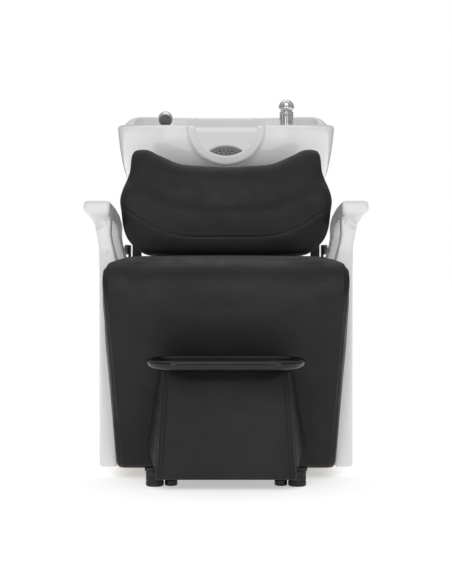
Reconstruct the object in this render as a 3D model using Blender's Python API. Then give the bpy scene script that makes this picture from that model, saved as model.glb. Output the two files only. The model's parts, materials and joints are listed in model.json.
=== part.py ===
"""Shampoo backwash unit: an upholstered seat and footrest in front of a column with a tilting bowl.

Units are metres, +Z up. The seated person looks along -Y, the bowl stands at +Y, and the origin
lies on the floor in the middle of the whole unit.
"""

import math

import bmesh
import bpy
from mathutils import Matrix, Vector

# Overall
FRONT_Y = -0.610
BACK_Y = 0.610
FIT_GAP = 0.0003

# Base frame
RUNNER_X = 0.122
RUNNER_SIZE = 0.030
RUNNER_WALL = 0.002
RUNNER_FRONT_Y = -0.515
RUNNER_BACK_Y = 0.490
FOOT_HEIGHT = 0.034
FOOT_RADIUS = 0.0195
FOOT_PLATE = 0.005
FRONT_FOOT_X = 0.154
FRONT_FOOT_Y = -0.4925
REAR_FOOT_Y = 0.455
GLIDE_RADIUS = 0.014
GLIDE_X = 0.119
GLIDE_Y = -0.487

# Seat box and cushion
BOARD = 0.018
SEAT_TOP_Z = 0.4955
SEAT_BOARD_Z = 0.400
SEAT_BACK_Y = -0.012
SEAT_REAR_HALF = 0.243
KNEE_Y = -0.455
KNEE_Z = 0.410
APRON_FOOT_Y = -0.397
APRON_FOOT_Z = 0.020
APRON_REAR_Y = -0.352
APRON_HALF_FOOT = 0.250
APRON_HALF_KNEE = 0.279
SEAT_BOX_BACK_Y = 0.026

# Side shells with their arms
SHELL_INNER_X = 0.246
SHELL_OUTER_X = 0.288
SHELL_FRONT_Y = -0.351
SHELL_BACK_Y = 0.100
SHELL_BOTTOM_Z = 0.020
SHELL_WAIST_Z = 0.450
SHELL_WALL = 0.005
ARM_INNER_X = 0.267
ARM_OUTER_X = 0.328
ARM_TOP_Z = 0.6265
ARM_CAP_BOTTOM_Z = 0.591

# Backrest
BACK_FOOT_Z = 0.4985
BACK_FOOT_Y = -0.092
BACK_CURVE = 1.6
BACK_THICK = 0.085
BACK_THIN = 0.10
BACK_BOARD = 0.012
BACK_BOARD_GAP = 0.0015
UPRIGHT_INNER_X = 0.215
UPRIGHT_OUTER_X = 0.238
UPRIGHT_DEPTH = 0.010
UPRIGHT_Y = 0.030
UPRIGHT_TOP_Z = 0.680

# Footrest
FOOTREST_FRONT_Y = -0.562
FOOTREST_HALF_FOOT = 0.152
FOOTREST_HALF_TOP = 0.139
FOOTREST_LEAN = 0.042
FOOTREST_TOP_Z = 0.2555
FOOTREST_PAD = 0.028
TRAY_HALF = 0.169
TRAY_BACK_Y = -0.472
TRAY_THICK = 0.021
TRAY_TILT = math.radians(1.7)
TRAY_RIM = 0.005
TRAY_RECESS = 0.006

# Column behind the seat
COLUMN_HALF = 0.167
COLUMN_WALL = 0.008
COLUMN_FRONT_Y = 0.130
COLUMN_BACK_Y = 0.505
COLUMN_TOP_Z = 0.600
COLUMN_BOTTOM_Z = 0.020
POST_Y = 0.455

# Tilt joint under the bowl
TILT_Y = 0.200
TILT_Z = 0.655
PIN_RADIUS = 0.006
BUSH_WALL = 0.0015
EAR_X = 0.112
EAR_THICK = 0.008
EAR_HALF_Y = 0.025
LUG_THICK = 0.006
CLAMP_RADIUS = 0.014

# Bowl
BOWL_HALF_X = 0.2945
BOWL_FRONT_Y = 0.110
RIM_FRONT_Z = 0.844
RIM_SLOPE = 0.097
RIM_RISE = 0.0305
RIM_RISE_Y = 0.430
RIM_RISE_LENGTH = 0.140
RIM_BAND = 0.016
RIM_WIDTH = 0.020
BASIN_HALF_X = 0.262
BASIN_BACK_Y = 0.432
DECK_Z = 0.873
DECK_FRONT_Y = 0.395
NOTCH_HALF = 0.081
NOTCH_BOTTOM_Z = 0.7635
LIP_WIDTH = 0.024
LIP_PROUD = 0.010
STRAINER_Y = 0.360
STRAINER_Z = 0.7655
STRAINER_RADIUS = 0.065
STRAINER_THICK = 0.004
STRAINER_SLOPE = math.radians(45)
DRAIN_Y = 0.345
DRAIN_RADIUS = 0.016

# Mixer and hand shower
TAP_X = 0.173
TAP_Y = 0.470
TAP_HOLE = 0.016
MIXER_RADIUS = 0.0195
LEVER_RADIUS = 0.022
LEVER_CENTRE_Z = 0.932
HUB_RADIUS = 0.0185
SHOWER_RADIUS = 0.0205
SHOWER_HANDLE = 0.0110

# Slack between pieces that move on each other
RUN_GAP = 0.0005


SIDES = (("left", -1), ("right", 1))


def clear_scene():
    for obj in list(bpy.data.objects):
        bpy.data.objects.remove(obj, do_unlink=True)


def finish(name, colour, roughness, metallic=0.0):
    material = bpy.data.materials.new(name)
    material.use_nodes = True
    shader = material.node_tree.nodes["Principled BSDF"]
    shader.inputs["Base Color"].default_value = (*colour, 1.0)
    shader.inputs["Roughness"].default_value = roughness
    shader.inputs["Metallic"].default_value = metallic
    material.diffuse_color = (*colour, 1.0)
    return material


FINISHES = {
    "black_leather": ((0.030, 0.030, 0.032), 0.45, 0.0),
    "white_plastic": ((0.80, 0.80, 0.80), 0.18, 0.0),
    "white_ceramic": ((0.86, 0.86, 0.86), 0.06, 0.0),
    "chrome": ((0.80, 0.80, 0.82), 0.08, 1.0),
    "black_steel": ((0.015, 0.015, 0.016), 0.40, 0.0),
    "bare_steel": ((0.55, 0.55, 0.57), 0.30, 1.0),
    "black_gloss": ((0.010, 0.010, 0.012), 0.10, 0.0),
    "black_rubber": ((0.012, 0.012, 0.012), 0.80, 0.0),
    "grey_plastic": ((0.16, 0.16, 0.17), 0.45, 0.0),
    "plywood": ((0.45, 0.30, 0.17), 0.70, 0.0),
    "black_board": ((0.015, 0.015, 0.016), 0.50, 0.0),
    "white_pipe": ((0.70, 0.70, 0.68), 0.35, 0.0),
}


def named(name, bm, material, place=None, smooth=None):
    """An object made from a bmesh whose normals are turned outwards."""
    bmesh.ops.recalc_face_normals(bm, faces=bm.faces)
    if bm.calc_volume(signed=True) < 0:
        bmesh.ops.reverse_faces(bm, faces=bm.faces)
    mesh = bpy.data.meshes.new(name)
    bm.to_mesh(mesh)
    bm.free()
    obj = bpy.data.objects.new(name, mesh)
    bpy.context.scene.collection.objects.link(obj)
    if place is not None:
        obj.matrix_world = place
    if material is not None:
        look = finish(name, *FINISHES[material])
        mesh.materials.append(look)
    if smooth is not None:
        mesh.shade_smooth()
        mesh.set_sharp_from_angle(angle=math.radians(smooth))
    return obj


def helper(obj):
    """Marks a cutter or a shape that is joined to another as no part of the unit."""
    obj.hide_render = True
    obj.display_type = "WIRE"
    return obj


def combine(obj, other, operation, solver):
    modifier = obj.modifiers.new(f"{operation.lower()}_{other.name}", "BOOLEAN")
    modifier.operation = operation
    modifier.object = helper(other)
    modifier.solver = solver
    return obj


def cut(obj, *others, solver="EXACT"):
    for other in others:
        combine(obj, other, "DIFFERENCE", solver)
    return obj


def join(obj, *others, solver="EXACT"):
    for other in others:
        combine(obj, other, "UNION", solver)
    return obj


def loft(rings, loop_ends=True):
    """A closed bmesh through rings of equal length, with a flat face on each end."""
    bm = bmesh.new()
    rows = [[bm.verts.new(point) for point in ring] for ring in rings]
    count = len(rows[0])
    for row, after in zip(rows, rows[1:]):
        for i in range(count):
            j = (i + 1) % count
            bm.faces.new((row[i], row[j], after[j], after[i]))
    if loop_ends:
        bm.faces.new(list(reversed(rows[0])))
        bm.faces.new(rows[-1])
    return bm


def block(name, low, high, material, bevel=0.0):
    """A box between two corners, with its edges rounded by bevel."""
    low = Vector(low)
    high = Vector(high)
    bm = bmesh.new()
    bmesh.ops.create_cube(bm, size=1.0, matrix=Matrix.Diagonal((*(high - low), 1.0)))
    obj = named(name, bm, material, Matrix.Translation((low + high) / 2))
    if bevel:
        rounding = obj.modifiers.new("edge_rounding", "BEVEL")
        rounding.width = bevel
        rounding.segments = 2
    return obj


def circle(radius, count, height=0.0):
    turns = [2 * math.pi * i / count for i in range(count)]
    return [Vector((radius * math.cos(turn), radius * math.sin(turn), height)) for turn in turns]


def turned(name, profile, material, place=None, count=24):
    """A body turned about its local Z from (radius, height) pairs, with flat ends."""
    rings = [circle(radius, count, height) for radius, height in profile]
    return named(name, loft(rings), material, place, smooth=35)


def ring_turned(name, profile, material, place, count=24):
    """A turned body with a hole: the profile is a closed loop that stays off the axis."""
    rings = [circle(radius, count, height) for radius, height in profile]
    bm = loft(rings + rings[:1], loop_ends=False)
    bmesh.ops.remove_doubles(bm, verts=bm.verts, dist=1e-7)
    return named(name, bm, material, place, smooth=35)


def along(start, end):
    """The frame at start whose Z points at end, and the distance between them."""
    start = Vector(start)
    way = Vector(end) - start
    return Matrix.Translation(start) @ way.to_track_quat("Z", "Y").to_matrix().to_4x4(), way.length


def rod(name, start, end, radius, material, count=20):
    place, length = along(start, end)
    return turned(name, [(radius, 0.0), (radius, length)], material, place, count)


def box_tube(name, low, high, axis, wall, material):
    """A square tube with open ends that runs along one axis."""
    obj = block(name, low, high, material)
    inside_low = Vector(low) + Vector((wall, wall, wall))
    inside_high = Vector(high) - Vector((wall, wall, wall))
    inside_low[axis] = low[axis] - wall
    inside_high[axis] = high[axis] + wall
    return cut(obj, block(f"{name}_bore", inside_low, inside_high, None))


def arc(centre, radius, start, end, steps):
    """Points of an arc in degrees, as (u, v) pairs."""
    angles = [math.radians(start + (end - start) * i / steps) for i in range(steps + 1)]
    return [(centre[0] + radius * math.cos(a), centre[1] + radius * math.sin(a)) for a in angles]


def inset(outline, distance):
    """An outline moved inwards; the outline runs anticlockwise."""
    moved = []
    for i, point in enumerate(outline):
        here = Vector(point)
        before = here - Vector(outline[i - 1])
        after = Vector(outline[(i + 1) % len(outline)]) - here
        normals = [Vector((-edge.y, edge.x)).normalized() for edge in (before, after)]
        middle = (normals[0] + normals[1]).normalized()
        reach = distance / max(middle.dot(normals[0]), 0.4)
        moved.append(here + middle * reach)
    return moved


def prism(name, outline, steps, levels, mapping, material, smooth=40):
    """A prism on an outline in (u, v), bent into place by a mapping.

    steps gives (t, inset) pairs along the depth, levels the values of v at which the faces are
    divided, and mapping turns (u, v, t) into a point of the unit.
    """
    rings = []
    for t, distance in steps:
        rings.append([Vector((point[0], point[1], t)) for point in inset(outline, distance)])
    bm = loft(rings)
    for level in levels:
        geometry = bm.verts[:] + bm.edges[:] + bm.faces[:]
        bmesh.ops.bisect_plane(bm, geom=geometry, dist=1e-6, plane_co=(0, level, 0), plane_no=(0, 1, 0))
    for vert in bm.verts:
        vert.co = mapping(*vert.co)
    return named(name, bm, material, smooth=smooth)


def smoothstep(value):
    value = min(max(value, 0.0), 1.0)
    return value * value * (3 - 2 * value)


def blend_between(value, points):
    """The value of a straight-line curve through (x, y) pairs."""
    if value <= points[0][0]:
        return points[0][1]
    for (x0, y0), (x1, y1) in zip(points, points[1:]):
        if value <= x1:
            return y0 + (y1 - y0) * (value - x0) / (x1 - x0)
    return points[-1][1]


def hang(pieces, pivot_name, place):
    """Parents moving pieces to an empty that lies on their joint's axis."""
    pivot = bpy.data.objects.new(pivot_name, None)
    bpy.context.scene.collection.objects.link(pivot)
    pivot.location = place
    bpy.context.view_layer.update()
    for piece in pieces:
        world = piece.matrix_world.copy()
        piece.parent = pivot
        piece.matrix_parent_inverse = pivot.matrix_world.inverted()
        piece.matrix_world = world
    return pivot


# Heights that follow from the base frame
PLATE_TOP_Z = FOOT_HEIGHT + FIT_GAP + FOOT_PLATE
RUNNER_LOW_Z = PLATE_TOP_Z + FIT_GAP
RUNNER_TOP_Z = RUNNER_LOW_Z + RUNNER_SIZE


def make_base():
    half = RUNNER_SIZE / 2
    for side, sign in SIDES:
        x = sign * RUNNER_X
        box_tube(
            f"base_runner_{side}",
            (x - half, RUNNER_FRONT_Y, RUNNER_LOW_Z),
            (x + half, RUNNER_BACK_Y, RUNNER_TOP_Z),
            1,
            RUNNER_WALL,
            "black_steel",
        )
        make_foot_plate(side, sign)
        make_foot(f"front_{side}", sign * FRONT_FOOT_X, FRONT_FOOT_Y, FOOT_HEIGHT)
        make_foot(f"rear_{side}", x, REAR_FOOT_Y, RUNNER_LOW_Z - FIT_GAP)
        turned(
            f"levelling_glide_{side}",
            [
                (GLIDE_RADIUS - 0.0015, 0.0),
                (GLIDE_RADIUS, 0.0015),
                (GLIDE_RADIUS, 0.006),
                (GLIDE_RADIUS - 0.002, 0.010),
                (GLIDE_RADIUS - 0.002, FOOT_HEIGHT - FIT_GAP),
            ],
            "black_gloss",
            Matrix.Translation((sign * GLIDE_X, GLIDE_Y, 0.0)),
        )
    reach = RUNNER_X - half - FIT_GAP
    for name, y in (("front", -0.300), ("rear", 0.400)):
        box_tube(
            f"cross_tube_{name}",
            (-reach, y - half, RUNNER_LOW_Z),
            (reach, y + half, RUNNER_TOP_Z),
            0,
            RUNNER_WALL,
            "black_steel",
        )


def make_foot_plate(side, sign):
    """The steel plate under the front of a runner that reaches out over the foot and the glide."""
    ends = sorted((sign * (RUNNER_X - RUNNER_SIZE / 2), sign * (FRONT_FOOT_X + FOOT_RADIUS + 0.002)))
    low = FOOT_HEIGHT + FIT_GAP
    block(
        f"foot_plate_{side}",
        (ends[0], FRONT_FOOT_Y - FOOT_RADIUS + 0.007, low),
        (ends[1], FRONT_FOOT_Y + FOOT_RADIUS + 0.003, low + FOOT_PLATE),
        "black_steel",
    )


def make_foot(name, x, y, height):
    """A turned rubber foot on the floor."""
    turned(
        f"rubber_foot_{name}",
        [
            (FOOT_RADIUS - 0.0025, 0.0),
            (FOOT_RADIUS - 0.0010, 0.002),
            (FOOT_RADIUS, 0.014),
            (FOOT_RADIUS, height - 0.002),
            (FOOT_RADIUS - 0.002, height),
        ],
        "black_rubber",
        Matrix.Translation((x, y, 0.0)),
    )


def make_seat_box():
    inner = SHELL_INNER_X - FIT_GAP
    side_front = APRON_REAR_Y + FIT_GAP + BOARD + FIT_GAP
    front = APRON_REAR_Y + FIT_GAP
    block(
        "seat_front_board",
        (-inner, front, RUNNER_TOP_Z + FIT_GAP),
        (inner, front + BOARD, SEAT_BOARD_Z - FIT_GAP),
        "plywood",
    )
    block(
        "seat_top_board",
        (-inner, front, SEAT_BOARD_Z),
        (inner, SEAT_BOX_BACK_Y, SEAT_BOARD_Z + BOARD),
        "plywood",
    )
    for side, sign in SIDES:
        ends = sorted((sign * (inner - BOARD), sign * inner))
        block(
            f"seat_side_board_{side}",
            (ends[0], side_front, SHELL_BOTTOM_Z + 0.010),
            (ends[1], SEAT_BOX_BACK_Y, SEAT_BOARD_Z - FIT_GAP),
            "plywood",
        )


def make_seat_cushion():
    """One upholstered pad that covers the seat and falls over the knee edge to the floor."""
    low = SEAT_BOARD_Z + BOARD + FIT_GAP
    knee_radius = SEAT_TOP_Z - KNEE_Z
    rear_radius = 0.022
    apron = [(APRON_FOOT_Y, APRON_FOOT_Z + 0.004), (APRON_REAR_Y - 0.006, APRON_FOOT_Z)]
    apron += [(APRON_REAR_Y, APRON_FOOT_Z + 0.010), (APRON_REAR_Y, SEAT_TOP_Z - 0.001)]
    apron += arc((KNEE_Y + knee_radius, KNEE_Z), knee_radius, 90, 180, 7)
    apron += [(-0.424, 0.200)]
    seat = [(APRON_REAR_Y - 0.040, low), (SEAT_BACK_Y - 0.006, low)]
    seat += arc((SEAT_BACK_Y - rear_radius, SEAT_TOP_Z - 0.0015 - rear_radius), rear_radius, 0, 90, 4)
    seat += [(APRON_REAR_Y - 0.040, SEAT_TOP_Z - 0.0015)]
    widths = [(APRON_FOOT_Z, APRON_HALF_FOOT), (KNEE_Z - 0.01, APRON_HALF_KNEE)]

    def apron_mapping(u, v, t):
        return Vector((t * blend_between(v, widths), u, v))

    def seat_mapping(u, v, t):
        return Vector((t * SEAT_REAR_HALF, u, v))

    steps = [(-1.0, 0.016), (-0.985, 0.006), (-0.94, 0.0), (0.94, 0.0), (0.985, 0.006), (1.0, 0.016)]
    levels = [0.06, 0.12, 0.20, 0.28, 0.36, KNEE_Z]
    cushion = prism("seat_cushion", apron, steps, levels, apron_mapping, "black_leather")
    steps = [(-1.0, 0.012), (-0.97, 0.0), (0.97, 0.0), (1.0, 0.012)]
    join(cushion, prism("seat_pad_part", seat, steps, [], seat_mapping, None), solver="MANIFOLD")
    half = RUNNER_X + RUNNER_SIZE / 2 + 0.004
    tunnel = block(
        "runner_tunnel",
        (-half, KNEE_Y, APRON_FOOT_Z - 0.010),
        (half, APRON_REAR_Y + 0.010, RUNNER_TOP_Z + 0.004),
        None,
    )
    cut(cushion, tunnel, solver="MANIFOLD")


def shell_x(z, t):
    """The x of a point of the side shell: t is 0 on its inner face and 1 on its outer face."""
    inner = SHELL_INNER_X + (ARM_INNER_X - SHELL_INNER_X) * smoothstep((z - SHELL_WAIST_Z) / 0.11)
    flare = [(SHELL_WAIST_Z, SHELL_OUTER_X), (0.521, 0.293), (0.574, 0.3045), (ARM_CAP_BOTTOM_Z, 0.316)]
    flare += [(0.604, ARM_OUTER_X), (ARM_TOP_Z, ARM_OUTER_X)]
    outer = blend_between(z, flare)
    return inner + (outer - inner) * t


def make_side_shells():
    """White mouldings that close the seat box and rise into the arms."""
    lower = SHELL_BACK_Y
    outline = [(SHELL_FRONT_Y, SHELL_BOTTOM_Z), (lower, SHELL_BOTTOM_Z), (lower, 0.420)]
    outline += [(0.088, 0.470), (0.070, 0.520), (0.074, 0.551)]
    outline += arc((0.066, 0.571), 0.020, -60, 80, 5)
    outline += [(0.0, 0.607), (-0.120, 0.619), (-0.220, 0.6245)]
    outline += arc((-0.294, 0.6085), 0.018, 90, 180, 4)
    outline += [(-0.308, 0.594), (-0.298, 0.578), (-0.312, 0.520), (-0.340, 0.460), (SHELL_FRONT_Y, 0.420)]
    loop = [(-0.215, 0.460), (-0.010, 0.460), (0.020, 0.490), (0.016, 0.540)]
    loop += [(-0.010, 0.560), (-0.120, 0.578), (-0.205, 0.583), (-0.235, 0.560), (-0.240, 0.500)]
    steps = [(0.0, 0.004), (0.08, 0.0), (0.88, 0.0), (0.97, 0.003), (1.0, 0.009)]
    levels = [SHELL_WAIST_Z, 0.480, 0.521, 0.548, 0.574, ARM_CAP_BOTTOM_Z, 0.604]
    for side, sign in SIDES:

        def mapping(u, v, t, sign=sign):
            return Vector((sign * shell_x(v, t), u, v))

        shell = prism(f"side_shell_{side}", outline, steps, levels, mapping, "white_plastic")
        hole = prism(
            f"arm_loop_cut_{side}",
            loop,
            [(-0.6, 0.0), (1.8, 0.0)],
            levels,
            mapping,
            None,
        )
        ends = sorted((sign * (SHELL_INNER_X - SHELL_WALL), sign * (SHELL_OUTER_X - SHELL_WALL)))
        pocket = block(
            f"shell_pocket_{side}",
            (ends[0], SHELL_FRONT_Y + 2 * SHELL_WALL, SHELL_BOTTOM_Z + 2 * SHELL_WALL),
            (ends[1], SHELL_BACK_Y - 2 * SHELL_WALL, SHELL_WAIST_Z - 0.050),
            None,
        )
        cut(shell, hole, pocket)
        make_arm_bracket(side, sign)


def make_arm_bracket(side, sign):
    """The steel strap behind the seat that holds the rear end of the arm, and its end cap."""
    ends = sorted((sign * 0.2475, sign * 0.2535))
    block(
        f"arm_bracket_{side}",
        (ends[0], SHELL_BACK_Y + FIT_GAP, 0.300),
        (ends[1], SHELL_BACK_Y + 0.028, 0.532),
        "black_steel",
    )
    place, _ = along((sign * 0.254, SHELL_BACK_Y + 0.014, 0.520), (sign * 1.0, SHELL_BACK_Y + 0.014, 0.520))
    profile = [(0.010, 0.0), (0.0130, 0.002), (0.0130, 0.008), (0.010, 0.011)]
    turned(f"arm_end_cap_{side}", profile, "grey_plastic", place)


def back_front_y(z):
    return BACK_FOOT_Y + BACK_CURVE * (z - BACK_FOOT_Z) ** 2


def back_rear_y(z):
    return back_front_y(z) + BACK_THICK - BACK_THIN * (z - BACK_FOOT_Z)


def mirrored(half):
    """A closed outline from the points of its right half, bottom to top."""
    return half + [(-u, v) for u, v in reversed(half) if u > 0]


BACK_OUTLINE = [
    (0.0, BACK_FOOT_Z),
    (0.150, BACK_FOOT_Z),
    (0.198, 0.503),
    (0.221, 0.516),
    (0.244, 0.539),
    (0.2565, 0.571),
    (0.262, 0.608),
    (0.266, 0.641),
    (0.259, 0.671),
    (0.2445, 0.710),
    (0.242, 0.745),
    (0.239, 0.763),
    (0.228, 0.774),
    (0.197, 0.774),
    (0.159, 0.755),
    (0.116, 0.737),
    (0.064, 0.7315),
    (0.0, 0.729),
]


def make_backrest():
    outline = mirrored(BACK_OUTLINE)
    levels = [0.53, 0.56, 0.59, 0.62, 0.65, 0.68, 0.71, 0.74]

    def cushion(u, v, t):
        return Vector((u, back_front_y(v) + t * (back_rear_y(v) - back_front_y(v)), v))

    def board(u, v, t):
        return Vector((u, back_rear_y(v) + BACK_BOARD_GAP + t * BACK_BOARD, v))

    steps = [(0.0, 0.014), (0.10, 0.004), (0.28, 0.0), (0.82, 0.0), (1.0, 0.010)]
    prism("backrest_cushion", outline, steps, levels, cushion, "black_leather")
    inner = inset(outline, 0.016)
    prism("backrest_board", inner, [(0.0, 0.0), (1.0, 0.0)], levels, board, "black_steel")
    heights = [SEAT_BOARD_Z - 0.31, SEAT_BOARD_Z + 0.02, 0.53, 0.56, 0.59, 0.62, 0.65, UPRIGHT_TOP_Z]
    for side, sign in SIDES:
        rings = []
        for z in heights:
            behind = back_rear_y(max(z, BACK_FOOT_Z)) + BACK_BOARD + 2 * BACK_BOARD_GAP
            y = max(UPRIGHT_Y, behind)
            xs = sorted((sign * UPRIGHT_INNER_X, sign * UPRIGHT_OUTER_X))
            rings.append(
                [
                    Vector((xs[0], y, z)),
                    Vector((xs[1], y, z)),
                    Vector((xs[1], y + UPRIGHT_DEPTH, z)),
                    Vector((xs[0], y + UPRIGHT_DEPTH, z)),
                ]
            )
        named(f"backrest_upright_{side}", loft(rings), "black_steel")


def apron_front_y(z):
    """The front of the falling part of the seat cushion, at its straight stretch."""
    share = (z - APRON_FOOT_Z) / (KNEE_Z - APRON_FOOT_Z)
    return APRON_FOOT_Y + (KNEE_Y - APRON_FOOT_Y) * share


def footrest_seam_y(z):
    """The rear face of the footrest's front pad, where the side pads begin."""
    share = (z - APRON_FOOT_Z) / (FOOTREST_TOP_Z - APRON_FOOT_Z)
    return FOOTREST_FRONT_Y + FOOTREST_LEAN * share + FOOTREST_PAD + FIT_GAP


def make_footrest():
    """The upholstered box in front of the seat, and the tray on it."""
    low_z = APRON_FOOT_Z

    def front_ring(z, half, y):
        depth = FOOTREST_PAD
        corner = 0.008
        return [
            Vector((-half + corner, y, z)),
            Vector((half - corner, y, z)),
            Vector((half, y + corner, z)),
            Vector((half, y + depth, z)),
            Vector((-half, y + depth, z)),
            Vector((-half, y + corner, z)),
        ]

    rings = []
    for i in range(5):
        share = i / 4
        z = low_z + (FOOTREST_TOP_Z - low_z) * share
        half = FOOTREST_HALF_FOOT + (FOOTREST_HALF_TOP - FOOTREST_HALF_FOOT) * share
        rings.append(front_ring(z, half, FOOTREST_FRONT_Y + FOOTREST_LEAN * share))
    named("footrest_front_pad", loft(rings), "black_leather")
    seam_z = low_z + 0.011
    seam_top = footrest_seam_y(FOOTREST_TOP_Z)
    back_low_z = 0.076
    wall = 0.010
    for side, sign in SIDES:
        rear_low = apron_front_y(back_low_z) - 0.004
        rear_top = apron_front_y(FOOTREST_TOP_Z) - 0.006
        corners = [
            (FOOTREST_HALF_FOOT, footrest_seam_y(seam_z), seam_z),
            (0.177, rear_low, back_low_z),
            (0.147, rear_top, FOOTREST_TOP_Z),
            (FOOTREST_HALF_TOP, seam_top, FOOTREST_TOP_Z),
        ]
        outer = [Vector((sign * x, y, z)) for x, y, z in corners]
        inner = [Vector((sign * (x - wall), y, z)) for x, y, z in corners]
        named(f"footrest_side_pad_{side}", loft([outer, inner]), "black_leather")
    block(
        "footrest_top_board",
        (-0.118, seam_top + 0.002, FOOTREST_TOP_Z - BOARD),
        (0.118, apron_front_y(FOOTREST_TOP_Z) - 0.006, FOOTREST_TOP_Z),
        "black_board",
    )
    make_tray()


def stadium(half_length, radius, steps=8):
    right = arc((half_length - radius, 0.0), radius, -90, 90, steps)
    left = arc((radius - half_length, 0.0), radius, 90, 270, steps)
    return right + left


def make_tray():
    depth = TRAY_BACK_Y - FRONT_Y
    radius = depth / 2
    centre_y = FRONT_Y + radius
    low = FOOTREST_TOP_Z + 2 * FIT_GAP + math.sin(TRAY_TILT) * radius
    place = Matrix.Translation((0.0, centre_y, low)) @ Matrix.Rotation(TRAY_TILT, 4, "X")
    scale = 1 / math.cos(TRAY_TILT)

    def mapping(u, v, t):
        return Vector((u, v * scale, t))

    outline = stadium(TRAY_HALF, radius)
    steps = [(0.0, 0.012), (0.006, 0.003), (0.013, 0.0), (TRAY_THICK - 0.003, 0.002), (TRAY_THICK, 0.005)]
    tray = prism("footrest_tray", outline, steps, [], mapping, "black_gloss")
    recess_low = TRAY_THICK - TRAY_RECESS
    dish = [(recess_low, 0.004 + 2 * TRAY_RIM), (TRAY_THICK + 0.002, TRAY_RIM + 0.004)]
    recess = prism("tray_recess", outline, dish, [], mapping, None)
    for piece in (tray, recess):
        piece.matrix_world = place
    cut(tray, recess)


def make_column():
    """The covers and posts behind the seat that carry the bowl and hide the plumbing."""
    stand_z = RUNNER_TOP_Z + FIT_GAP
    inner = COLUMN_HALF - COLUMN_WALL
    for side, sign in SIDES:
        xs = sorted((sign * inner, sign * COLUMN_HALF))
        block(
            f"column_side_{side}",
            (xs[0], COLUMN_FRONT_Y, COLUMN_BOTTOM_Z),
            (xs[1], COLUMN_BACK_Y, COLUMN_TOP_Z),
            "white_plastic",
            0.003,
        )
        xs = sorted((sign * EAR_X, sign * (EAR_X + EAR_THICK)))
        bracket = block(
            f"tilt_bracket_{side}",
            (xs[0], TILT_Y - EAR_HALF_Y, stand_z),
            (xs[1], TILT_Y + EAR_HALF_Y, TILT_Z + 0.020),
            "black_steel",
        )
        hole = rod(
            f"tilt_bracket_hole_{side}",
            (xs[0] - 0.01, TILT_Y, TILT_Z),
            (xs[1] + 0.01, TILT_Y, TILT_Z),
            PIN_RADIUS + FIT_GAP,
            None,
        )
        cut(bracket, hole)
        half = RUNNER_SIZE / 2
        x = sign * RUNNER_X
        box_tube(
            f"column_post_{side}",
            (x - half, POST_Y - half, stand_z),
            (x + half, POST_Y + half, COLUMN_TOP_Z - 0.020),
            2,
            RUNNER_WALL,
            "black_steel",
        )
    edge = inner - FIT_GAP
    block(
        "column_front_cover",
        (-edge, COLUMN_FRONT_Y, SEAT_BOARD_Z - 0.300),
        (edge, COLUMN_FRONT_Y + COLUMN_WALL, COLUMN_TOP_Z),
        "white_plastic",
        0.002,
    )
    panel_front = COLUMN_BACK_Y - COLUMN_WALL
    panel = block(
        "service_panel",
        (-edge, panel_front, COLUMN_BOTTOM_Z),
        (edge, COLUMN_BACK_Y, COLUMN_TOP_Z - 0.020),
        "white_plastic",
        0.002,
    )
    pipe_slot = block(
        "service_panel_pipe_slot",
        (-0.060, panel_front - 0.01, COLUMN_BOTTOM_Z - 0.01),
        (0.060, COLUMN_BACK_Y + 0.01, 0.110),
        None,
    )
    cut(panel, pipe_slot)
    make_panel_screws(edge)


def make_panel_screws(edge):
    """The two dome-headed screws that hold the top of the service panel."""
    for side, sign in SIDES:
        start = Vector((sign * (edge - 0.018), COLUMN_BACK_Y + FIT_GAP, COLUMN_TOP_Z - 0.040))
        place, _ = along(start, start + Vector((0, 1, 0)))
        profile = [(0.005, 0.0), (0.005, 0.001), (0.003, 0.0025)]
        turned(f"service_panel_screw_{side}", profile, "bare_steel", place, 12)


def make_tilt_joint():
    """The pin in the brackets, the cradle that turns on it, and the clamp lever on its end."""
    reach = EAR_X + EAR_THICK + 0.016
    pin = rod("tilt_pin", (-reach, TILT_Y, TILT_Z), (reach, TILT_Y, TILT_Z), PIN_RADIUS, "bare_steel")
    lug_outer = EAR_X - RUN_GAP
    lug_inner = lug_outer - LUG_THICK
    plate_top = bowl_under_z(0.300) - 0.002
    plate_low = plate_top - 0.005
    cradle = block(
        "bowl_cradle",
        (-lug_outer, TILT_Y - 0.035, plate_low),
        (lug_outer, 0.296, plate_top),
        "black_steel",
    )
    bore = PIN_RADIUS + 2 * FIT_GAP + BUSH_WALL
    for side, sign in SIDES:
        xs = sorted((sign * lug_inner, sign * lug_outer))
        lug = block(
            f"cradle_lug_{side}",
            (xs[0], TILT_Y - 0.020, TILT_Z - 0.018),
            (xs[1], TILT_Y + 0.020, plate_low + 0.002),
            None,
        )
        join(cradle, lug)
    through = lug_outer + 0.01
    hole = rod("cradle_hole", (-through, TILT_Y, TILT_Z), (through, TILT_Y, TILT_Z), bore, None)
    cut(cradle, hole)
    bushes = []
    for side, sign in SIDES:
        place, _ = along((sign * lug_inner, TILT_Y, TILT_Z), (sign, TILT_Y, TILT_Z))
        inner = PIN_RADIUS + FIT_GAP
        outer = inner + BUSH_WALL
        profile = [(inner, 0.0), (outer, 0.0), (outer, LUG_THICK), (inner, LUG_THICK)]
        bushes.append(ring_turned(f"tilt_bush_{side}", profile, "white_pipe", place))
    return pin, cradle, bushes


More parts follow.
